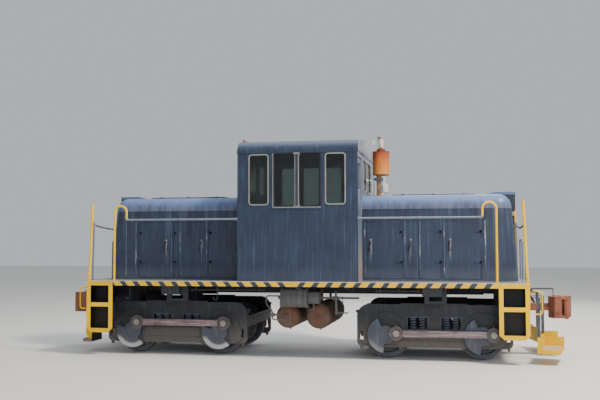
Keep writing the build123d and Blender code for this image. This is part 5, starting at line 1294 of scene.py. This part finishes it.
# Traction motors: cast ribs, inspection covers and the gear case's bolts.
motorTrim = {"from": 0.23, "to": halfBase - 0.135, "ribs": (-0.3, -0.15, 0.0, 0.15, 0.27), "side": 0.33,
    "gearRadius": 0.335}
for end, endName in ends:
    bm = bmesh.new()
    middle = end * bogieX
    for side in (-1, 1):
        y, out = side * bogieTrim["plateY"], (0, side, 0)
        for k in range(6):
            addBolt(bm, (middle - 0.5 + k * 0.2, y, rail + 0.905), out, 0.022)
        for k in range(8):
            for z in (rail + 0.455, rail + 0.335):
                addRivet(bm, (middle - 0.56 + k * 0.125, side * bogieTrim["beamY"], z), out, 0.02)
        for wheel in (-1, 1):
            axleX = middle + wheel * halfBase
            for k in range(7):
                way = Vector((cos(radians(12 + k * 26)), 0, sin(radians(12 + k * 26))))
                addBolt(bm, Vector((axleX, side * bogieTrim["hornY"], axleHeight))
                    + way * bogieTrim["hornRadius"], out, 0.018)
            # axlebox guides and the keeper under them
            for x in (axleX - bogieTrim["guide"], axleX + bogieTrim["guide"]):
                addBlock(bm, (x - 0.014, side * 0.979, axleHeight - 0.17), (x + 0.014, side * 0.99,
                    axleHeight + 0.14), 0.004, 1)
            addBlock(bm, (axleX - 0.21, side * 0.979, axleHeight - 0.225), (axleX + 0.21, side * 0.994,
                axleHeight - 0.185), 0.005)
            for dx in (-0.17, -0.09, 0.09, 0.17):
                addBolt(bm, (axleX + dx, side * 0.994, axleHeight - 0.205), out, 0.02)
            # brake hanger behind the plate, and a lighter curved guard bar at the plate's end
            x = middle + wheel * bogieTrim["hanger"]
            addTube(bm, [(x, side * 0.86, rail + 0.8), (x - wheel * 0.02, side * 0.86, rail + 0.42)], 0.014, 8)
            addBlock(bm, (x - 0.03, side * 0.835, rail + 0.79), (x + 0.03, side * 0.898, rail + 0.84), 0.004)
            guard = [(middle + wheel * dx, side * 0.986, rail + z) for dx, z in bogieTrim["guard"]]
            addTube(bm, roundedPath(guard, 0.06), 0.008, 8, mat=1)
        for a, b in openingSpans:
            x0, x1, z0, z1, w = middle + a, middle + b, springLow, springHigh, bogieTrim["liner"]
            for low, high in (((x0 - w, z0 - w), (x1 + w, z0)), ((x0 - w, z1), (x1 + w, z1 + w)), ((x0 - w, z0),
                (x0, z1)), ((x1, z0), (x1 + w, z1))):
                addBlock(bm, (low[0], y - side * 0.001, low[1]), (high[0], y + side * 0.007, high[1]), 0.002, 1)
    for wheel in (-1, 1):
        for k in range(7):
            addBolt(bm, (middle + wheel * 1.365, -0.78 + k * 0.26, rail + 0.64), (wheel, 0, 0), 0.024)
    makePiece("bogieTrim_" + endName, bm, [blackPaint, springPaint], "bogie_" + endName)

    bm = bmesh.new()
    x0, x1 = sorted((middle - end * motorTrim["from"], middle - end * motorTrim["to"]))
    for y in motorTrim["ribs"]:
        for z0, z1 in ((rail + 0.235, rail + 0.247), (rail + 0.688, rail + 0.702)):
            addBlock(bm, (x0, y - 0.008, z0), (x1, y + 0.008, z1), 0.002)
    for out in (-1, 1):
        y = out * motorTrim["side"]
        addBlock(bm, (x0 + 0.06, y, rail + 0.34), (x1 - 0.06, y + out * 0.01, rail + 0.6), 0.006)
        for x in (x0 + 0.09, x1 - 0.09):
            for z in (rail + 0.37, rail + 0.57):
                addBolt(bm, (x, y + out * 0.01, z), (0, out, 0), 0.018, 1)
    for y, out in ((0.36, -1), (0.48, 1)):
        addBoltCircle(bm, (middle - end * halfBase, y, axleHeight), (0, out, 0), motorTrim["gearRadius"], 16,
            0.018, 1)
    makePiece("motorTrim_" + endName, bm, [blackPaint, zincSteel], "bogie_" + endName)
print("bogies")

# The cranks' throw and their angles at rest on the near side; the far side's stand 90 degrees ahead.
crank = {"throw": 0.195, "left": 55, "right": 9, "faceY": 1.076, "plugs": 0.235}


def crankWay(endName, side):
    a = radians(crank[endName] + (90 if side > 0 else 0))
    return Vector((cos(a), 0, sin(a)))


# Wheelsets: bolted pin caps, rims and plugs in the cranks, and the wheels' hub rings.
pinCap = {"outY": 1.158, "radius": 0.058, "bolts": 6, "boltRadius": 0.044}
for end, endName in ends:
    for place, x in (("inner", end * (bogieX - halfBase)), ("outer", end * (bogieX + halfBase))):
        bm = bmesh.new()
        for side in (-1, 1):
            way, out, r = crankWay(endName, side), (0, side, 0), pinCap["radius"]
            pin = Vector((x, side * pinCap["outY"], axleHeight)) + way * crank["throw"]
            addTurned(bm, [(r, -0.002), (r, 0.004), (0.03, 0.007), (0.03, 0.012), (0.0, 0.012)], pin, out, 28,
                1)
            addBoltCircle(bm, pin + Vector((0, side * 0.004, 0)), out, pinCap["boltRadius"], pinCap["bolts"],
                0.017, 1, 0.3)
            face = Vector((x, side * crank["faceY"], axleHeight))
            # rim of the axle's end in the crank, and flush plugs that the rod can pass over
            addTurned(bm, [(0.15, -0.001), (0.15, 0.0035), (0.128, 0.0045), (0.128, -0.001)], face, out, 40)
            addTurned(bm, [(0.082, -0.001), (0.082, 0.0035), (0.012, 0.0035), (0.008, 0.0005), (0.0, 0.0005)],
                face, out, 32)
            for s in (-0.1, 0.1):
                spot = face - way * crank["plugs"] + Vector((-way.z, 0, way.x)) * s
                addTurned(bm, [(0.017, -0.001), (0.017, 0.0026), (0.0, 0.0026)], spot, out, 18)
            addTurned(bm, [(0.136, -0.001), (0.136, 0.005), (0.095, 0.008), (0.079, 0.008), (0.079, -0.001)],
                (x, side * 0.842, axleHeight), out, 40)
        makePiece(f"wheelTrim_{endName}_{place}", bm, [wheelSteel, zincSteel], f"wheelset_{endName}_{place}")
print("wheelsets")

# Side rods: fluted outer face, bush lips at both eyes, oil cups with caps, wedge bolts.
rodTrim = {"faceY": 1.142, "flutes": (-0.052, 0.038), "fluteWide": 0.014, "eye": 0.125, "cup": 0.122,
    "wedge": 0.15}
for end, endName in ends:
    for side, sideName in sides:
        way, out = crankWay(endName, side), (0, side, 0)
        x0, x1 = sorted(end * (bogieX + shift) + crank["throw"] * way.x for shift in (-halfBase, halfBase))
        y, z = side * rodTrim["faceY"], axleHeight + crank["throw"] * way.z
        bm = bmesh.new()
        for low in rodTrim["flutes"]:
            addBlock(bm, (x0 + rodTrim["eye"], y - side * 0.001, z + low), (x1 - rodTrim["eye"],
                y + side * 0.005, z + low + rodTrim["fluteWide"]), 0.002)
        for eye, inward in ((x0, 1), (x1, -1)):
            addTurned(bm, [(0.088, -0.001), (0.088, 0.0018), (0.066, 0.0018), (0.066, -0.001)], (eye, y, z),
                out, 36, 1)
            addTurned(bm, [(0.119, -0.001), (0.117, 0.006), (0.104, 0.008), (0.098, 0.004), (0.097, -0.001)],
                (eye, y, z), out, 36, 1)
            addTurned(bm, [(0.022, -0.004), (0.022, 0.02), (0.017, 0.026), (0.017, 0.034), (0.0, 0.036)],
                (eye, y - side * 0.03, z + rodTrim["cup"]), (0, 0, 1), 14, 1)
            for dz in (-0.03, 0.03):
                addBolt(bm, (eye + inward * rodTrim["wedge"], y, z + dz), out, 0.02, 2)
        makePiece(f"rodTrim_{endName}_{sideName}", bm, [rodSteel, blackPaint, zincSteel],
            f"side_rod_{endName}_{sideName}")
print("side rods")

# Coupler gear: pin heads, cast ribs, lock lifter caps; riveted end plates; air pipe nuts, cock handles, hose
# heads.
endTrim = {"pinX": 4.745, "pinY": 0.14, "headTop": 1.099, "headLow": 0.709, "ribs": (-0.085, 0.085),
    "ribFrom": 4.505, "ribTo": 4.69, "lifterX": 4.575, "nuts": (4.022, 4.118), "cockX": 4.085, "hoseX": 4.21,
    "hoseDrop": 0.24, "pipeY": 0.33, "pipeZ": rail + 1.06, "rivetRows": (rail + 1.1, rail + 1.21)}
coupled, fitted = bmesh.new(), bmesh.new()
for end in (-1, 1):
    for z, up in ((endTrim["headTop"], 1), (endTrim["headLow"], -1)):
        addTurned(coupled, [(0.037, -0.001), (0.037, 0.009), (0.027, 0.017), (0.0, 0.017)],
            (end * endTrim["pinX"], -end * endTrim["pinY"], z), (0, 0, up), 22)
        for y in endTrim["ribs"]:
            addBlock(coupled, (end * endTrim["ribFrom"], y - 0.009, z - up * 0.001), (end * endTrim["ribTo"],
                y + 0.009, z + up * 0.008), 0.003)
    addTurned(coupled, [(0.034, -0.001), (0.034, 0.012), (0.02, 0.02), (0.0, 0.02)], (end * endTrim["lifterX"],
        0, endTrim["headTop"]), (0, 0, 1), 20)
    for z in endTrim["rivetRows"]:
        for k in range(18):
            addRivet(fitted, (end * deckEnd, -1.13 + k * 2.26 / 17, z), (end, 0, 0), 0.018)
    y, z = end * endTrim["pipeY"], endTrim["pipeZ"]
    for x in endTrim["nuts"]:
        addTurned(fitted, bandForm(0.021, 0.034, 0.0, 0.022), (end * x, y, z), (end, 0, 0), 6)
    x = end * endTrim["cockX"]
    addTube(fitted, roundedPath([(x, y, z + 0.022), (x, y, z + 0.045), (x, y + 0.085, z + 0.06)], 0.01, 3),
        0.006, 8, mat=1)
    addTurned(fitted, [(0.021, 0.0), (0.036, 0.004), (0.036, 0.03), (0.026, 0.042), (0.0, 0.042)],
        (end * endTrim["hoseX"], y, z - endTrim["hoseDrop"]), (0, 0, -1), 18)
makePiece("couplerTrim", coupled, [castRust], "locomotive")
makePiece("endPlateTrim", fitted, [blackPaint, castRust], "locomotive")

# Rail fittings: post foot bolts, pipe collars on the handrails, eye bolts that hold the chains.
railTrim = {"postX": 3.985, "sideY": 1.36, "railZ": rail + 2.49, "collars": (1.135, 2.18, 3.225),
    "chainX": 3.965, "chainY": 1.218, "chainZ": rail + 2.4, "footThick": 0.012}
bm = bmesh.new()
for end in (-1, 1):
    for side in (-1, 1):
        y = side * railTrim["sideY"]
        for dx in (-0.021, 0.021):
            for dy in (-0.018, 0.018):
                addBolt(bm, (end * (railTrim["postX"] + dx), y + dy, deckTop + railTrim["footThick"]),
                    (0, 0, 1), 0.011, 1)
        for x in railTrim["collars"]:
            addTurned(bm, bandForm(0.016, 0.022, -0.018, 0.018), (end * x, y, railTrim["railZ"]), (1, 0, 0), 20)
        spot = Vector((end * railTrim["chainX"], side * railTrim["chainY"], railTrim["chainZ"]))
        addTube(bm, [spot + Vector((0.013 * cos(a), 0, 0.013 * sin(a))) for a in [k * pi / 8
            for k in range(16)]], 0.0035, 6, closed=True, mat=1)
makePiece("railFittings", bm, [greyPaint, zincSteel], "locomotive")

# Control stand: gauge panel with brass-rimmed dials, lever knobs and a screwed door.
standTrim = {"face": 0.38, "top": 2.503, "panelY": 0.665, "panelHalf": 0.285, "panelHigh": 0.165, "dial": 0.046,
    "dials": (-0.205, -0.07, 0.07, 0.205), "knobs": ((0.16, 0.47, 2.674), (-0.06, 0.46, 2.634))}
bm = bmesh.new()
top, panelY, r = standTrim["top"], standTrim["panelY"], standTrim["dial"]
addBlock(bm, (-standTrim["panelHalf"], panelY, top - 0.001), (standTrim["panelHalf"], panelY + 0.05,
    top + standTrim["panelHigh"]), 0.008)
for k, x in enumerate(standTrim["dials"]):
    mid = Vector((x, panelY, top + 0.088))
    addTurned(bm, [(r - 0.006, 0.001), (r - 0.006, 0.004), (0.0, 0.004)], mid, (0, -1, 0), 28, 1)
    addTurned(bm, [(r, 0.0), (r, 0.01), (r - 0.006, 0.012), (r - 0.007, 0.004)], mid, (0, -1, 0), 28, 2)
    for tick in range(9):
        a = radians(225 - tick * 33.75)
        way = Vector((cos(a), 0, sin(a)))
        addTube(bm, [mid + way * 0.029 + Vector((0, -0.0045, 0)), mid + way * 0.036 + Vector((0, -0.0045, 0))],
            0.0009, 4, mat=3)
    a = radians(200 - k * 47)
    addTube(bm, [mid + Vector((0, -0.006, 0)), mid + Vector((0.028 * cos(a), -0.006, 0.028 * sin(a)))], 0.0013,
        4, mat=3)
for spot in standTrim["knobs"]:
    addTurned(bm, [(0.0, 0.0), (0.014, 0.004), (0.02, 0.018), (0.014, 0.032), (0.0, 0.036)], spot, (0, 0, 1),
        18, 3)
addBlock(bm, (-0.255, standTrim["face"], 1.5), (0.255, standTrim["face"] - 0.004, 2.36), 0.002)
for x in (-0.235, 0.235):
    for k in range(5):
        addBolt(bm, (x, standTrim["face"] - 0.004, 1.53 + k * 0.2), (0, -1, 0), 0.01, 2)
makePiece("controlTrim", bm, [cabPaint, dialFace, brass, rubber], "locomotive")

# Engines: rocker covers, bolted side covers, an exhaust manifold, filter canisters and a belt guard.
engineTrim = {"from": 1.56, "pitch": 0.365, "count": 4, "side": 0.42, "top": deckTop + 1.05, "canister": 0.052}
for end, endName in ends:
    bm = bmesh.new()
    top, y = engineTrim["top"], engineTrim["side"]
    for k in range(engineTrim["count"]):
        x0 = engineTrim["from"] + k * engineTrim["pitch"]
        x1, mid = x0 + 0.31, x0 + 0.155
        addBlock(bm, (end * x0, -0.14, top - 0.002), (end * x1, 0.14, top + 0.085), 0.022)
        for dx in (0.05, 0.26):
            addBolt(bm, (end * (x0 + dx), 0, top + 0.085), (0, 0, 1), 0.022, 2)
        for side in (-1, 1):
            addBlock(bm, (end * (x0 + 0.02), side * (y - 0.001), deckTop + 0.3), (end * (x1 - 0.02),
                side * (y + 0.016), deckTop + 0.62), 0.01)
            for bx in (0.045, 0.265):
                for bz in (0.34, 0.46, 0.58):
                    addBolt(bm, (end * (x0 + bx), side * (y + 0.016), deckTop + bz), (0, side, 0), 0.018, 2)
        addTube(bm, roundedPath([(end * mid, 0.14, top + 0.03), (end * mid, 0.3, top + 0.03), (end * mid, 0.36,
            top - 0.02)], 0.05, 4), 0.036, 14, mat=1)
        addTube(bm, roundedPath([(end * (mid + 0.06), -0.14, top + 0.05), (end * (mid + 0.06), -0.45,
            top + 0.05), (end * (mid + 0.06), -0.45, deckTop + 0.86)], 0.04, 4), 0.006, 8, mat=2)
    addTube(bm, [(end * 1.6, 0.37, top - 0.03), (end * 2.98, 0.37, top - 0.03)], 0.05, 18, mat=1)
    addBlock(bm, (end * 1.62, -y - 0.07, deckTop + 0.72), (end * 2.96, -y + 0.001, deckTop + 0.86), 0.012)
    for x in (1.72, 1.9):
        r = engineTrim["canister"]
        addTurned(bm, [(0.0, 0.0), (r - 0.01, 0.0), (r, 0.012), (r, 0.19), (r + 0.006, 0.194), (r + 0.006,
            0.214), (0.0, 0.22)], (end * x, -y - 0.085, deckTop + 0.06), (0, 0, 1), 24)
    makePiece("engineTrim_" + endName, bm, [enginePaint, rustSteel, brass], "locomotive")
print("couplers, rails, stand and engines")

# Plain pale floor, a seamless sweep far larger than the view.
floorPaper, add, shader, place = newMaterial("floorPaper", {"IOR": 1.45, "Roughness": 0.9})
mottle(add, shader, add("TexNoise", place, Scale=0.6, Detail=6.0), ("#dcdbd7", "#e6e5e2"))
bm = bmesh.new()
bmesh.ops.create_grid(bm, x_segments=2, y_segments=2, size=60.0)
floor = addForm("floor", bm)
floor.data.materials.append(floorPaper)

# Soft studio light: the key stands right and high, where the sun stood; a wide front fill, a top light, a back
# light and an even sky soften it.
lights = {"keyLight": {"spot": (9.4, -5.6, 16.0), "aim": (0.3, 0.0, 1.8), "size": 3.0, "power": 4000.0,
    "tint": "#fff3e2"}, "fillLight": {"spot": (8.0, -15.0, 5.0), "aim": (0.0, 0.0, 1.5), "size": 8.0,
    "power": 750.0, "tint": "#e4ecff"}, "topLight": {"spot": (0.0, 2.0, 14.0), "aim": (0.0, 0.0, 2.0),
    "size": 10.0, "power": 500.0, "tint": "#f3f6ff"}, "backLight": {"spot": (4.0, 13.0, 9.0), "aim": (0.0, 0.0,
    2.0), "size": 8.0, "power": 700.0, "tint": "#ffffff"}}
for name, look in lights.items():
    data = bpy.data.lights.new(name, "AREA")
    data.shape, data.size, data.energy = "SQUARE", look["size"], look["power"]
    data.color = linearColor(look["tint"])[:3]
    lamp = addObject(name, data)
    lamp.location = look["spot"]
    lamp.rotation_euler = (Vector(look["aim"]) - Vector(look["spot"])).to_track_quat("-Z", "Y").to_euler()
world = bpy.data.worlds.new("studioSky")
bpy.context.scene.world = world
world.use_nodes = True
setInputs(world.node_tree.nodes["Background"], {"Color": "#e9eef4", "Strength": 0.65})

# Camera where the photograph was taken from: level, 16 m away, a little right of the middle. The image is 600
# by 400.
camera = {"spot": (2.975, -16.0, rail + 2.027), "yaw": 0.1967, "pitch": 0.0533, "roll": -0.002, "pixels": 833.0}
yaw, pitch, roll = camera["yaw"], camera["pitch"], camera["roll"]
ahead = Vector((-sin(yaw) * cos(pitch), cos(yaw) * cos(pitch), sin(pitch)))
rightWay = Vector((cos(yaw), sin(yaw), 0.0))
upWay = rightWay.cross(ahead)
tiltedRight = rightWay * cos(roll) + upWay * sin(roll)
tiltedUp = upWay * cos(roll) - rightWay * sin(roll)
lens = bpy.data.cameras.new("photoCamera")
lens.sensor_width = 36.0
lens.lens = camera["pixels"] * 36.0 / 600
lens.clip_end = 200.0
viewer = addObject("photoCamera", lens)
basis = Matrix((tiltedRight, tiltedUp, -ahead)).transposed().to_4x4()
viewer.matrix_world = Matrix.Translation(camera["spot"]) @ basis
bpy.context.scene.camera = viewer
print("stage, lights and camera")
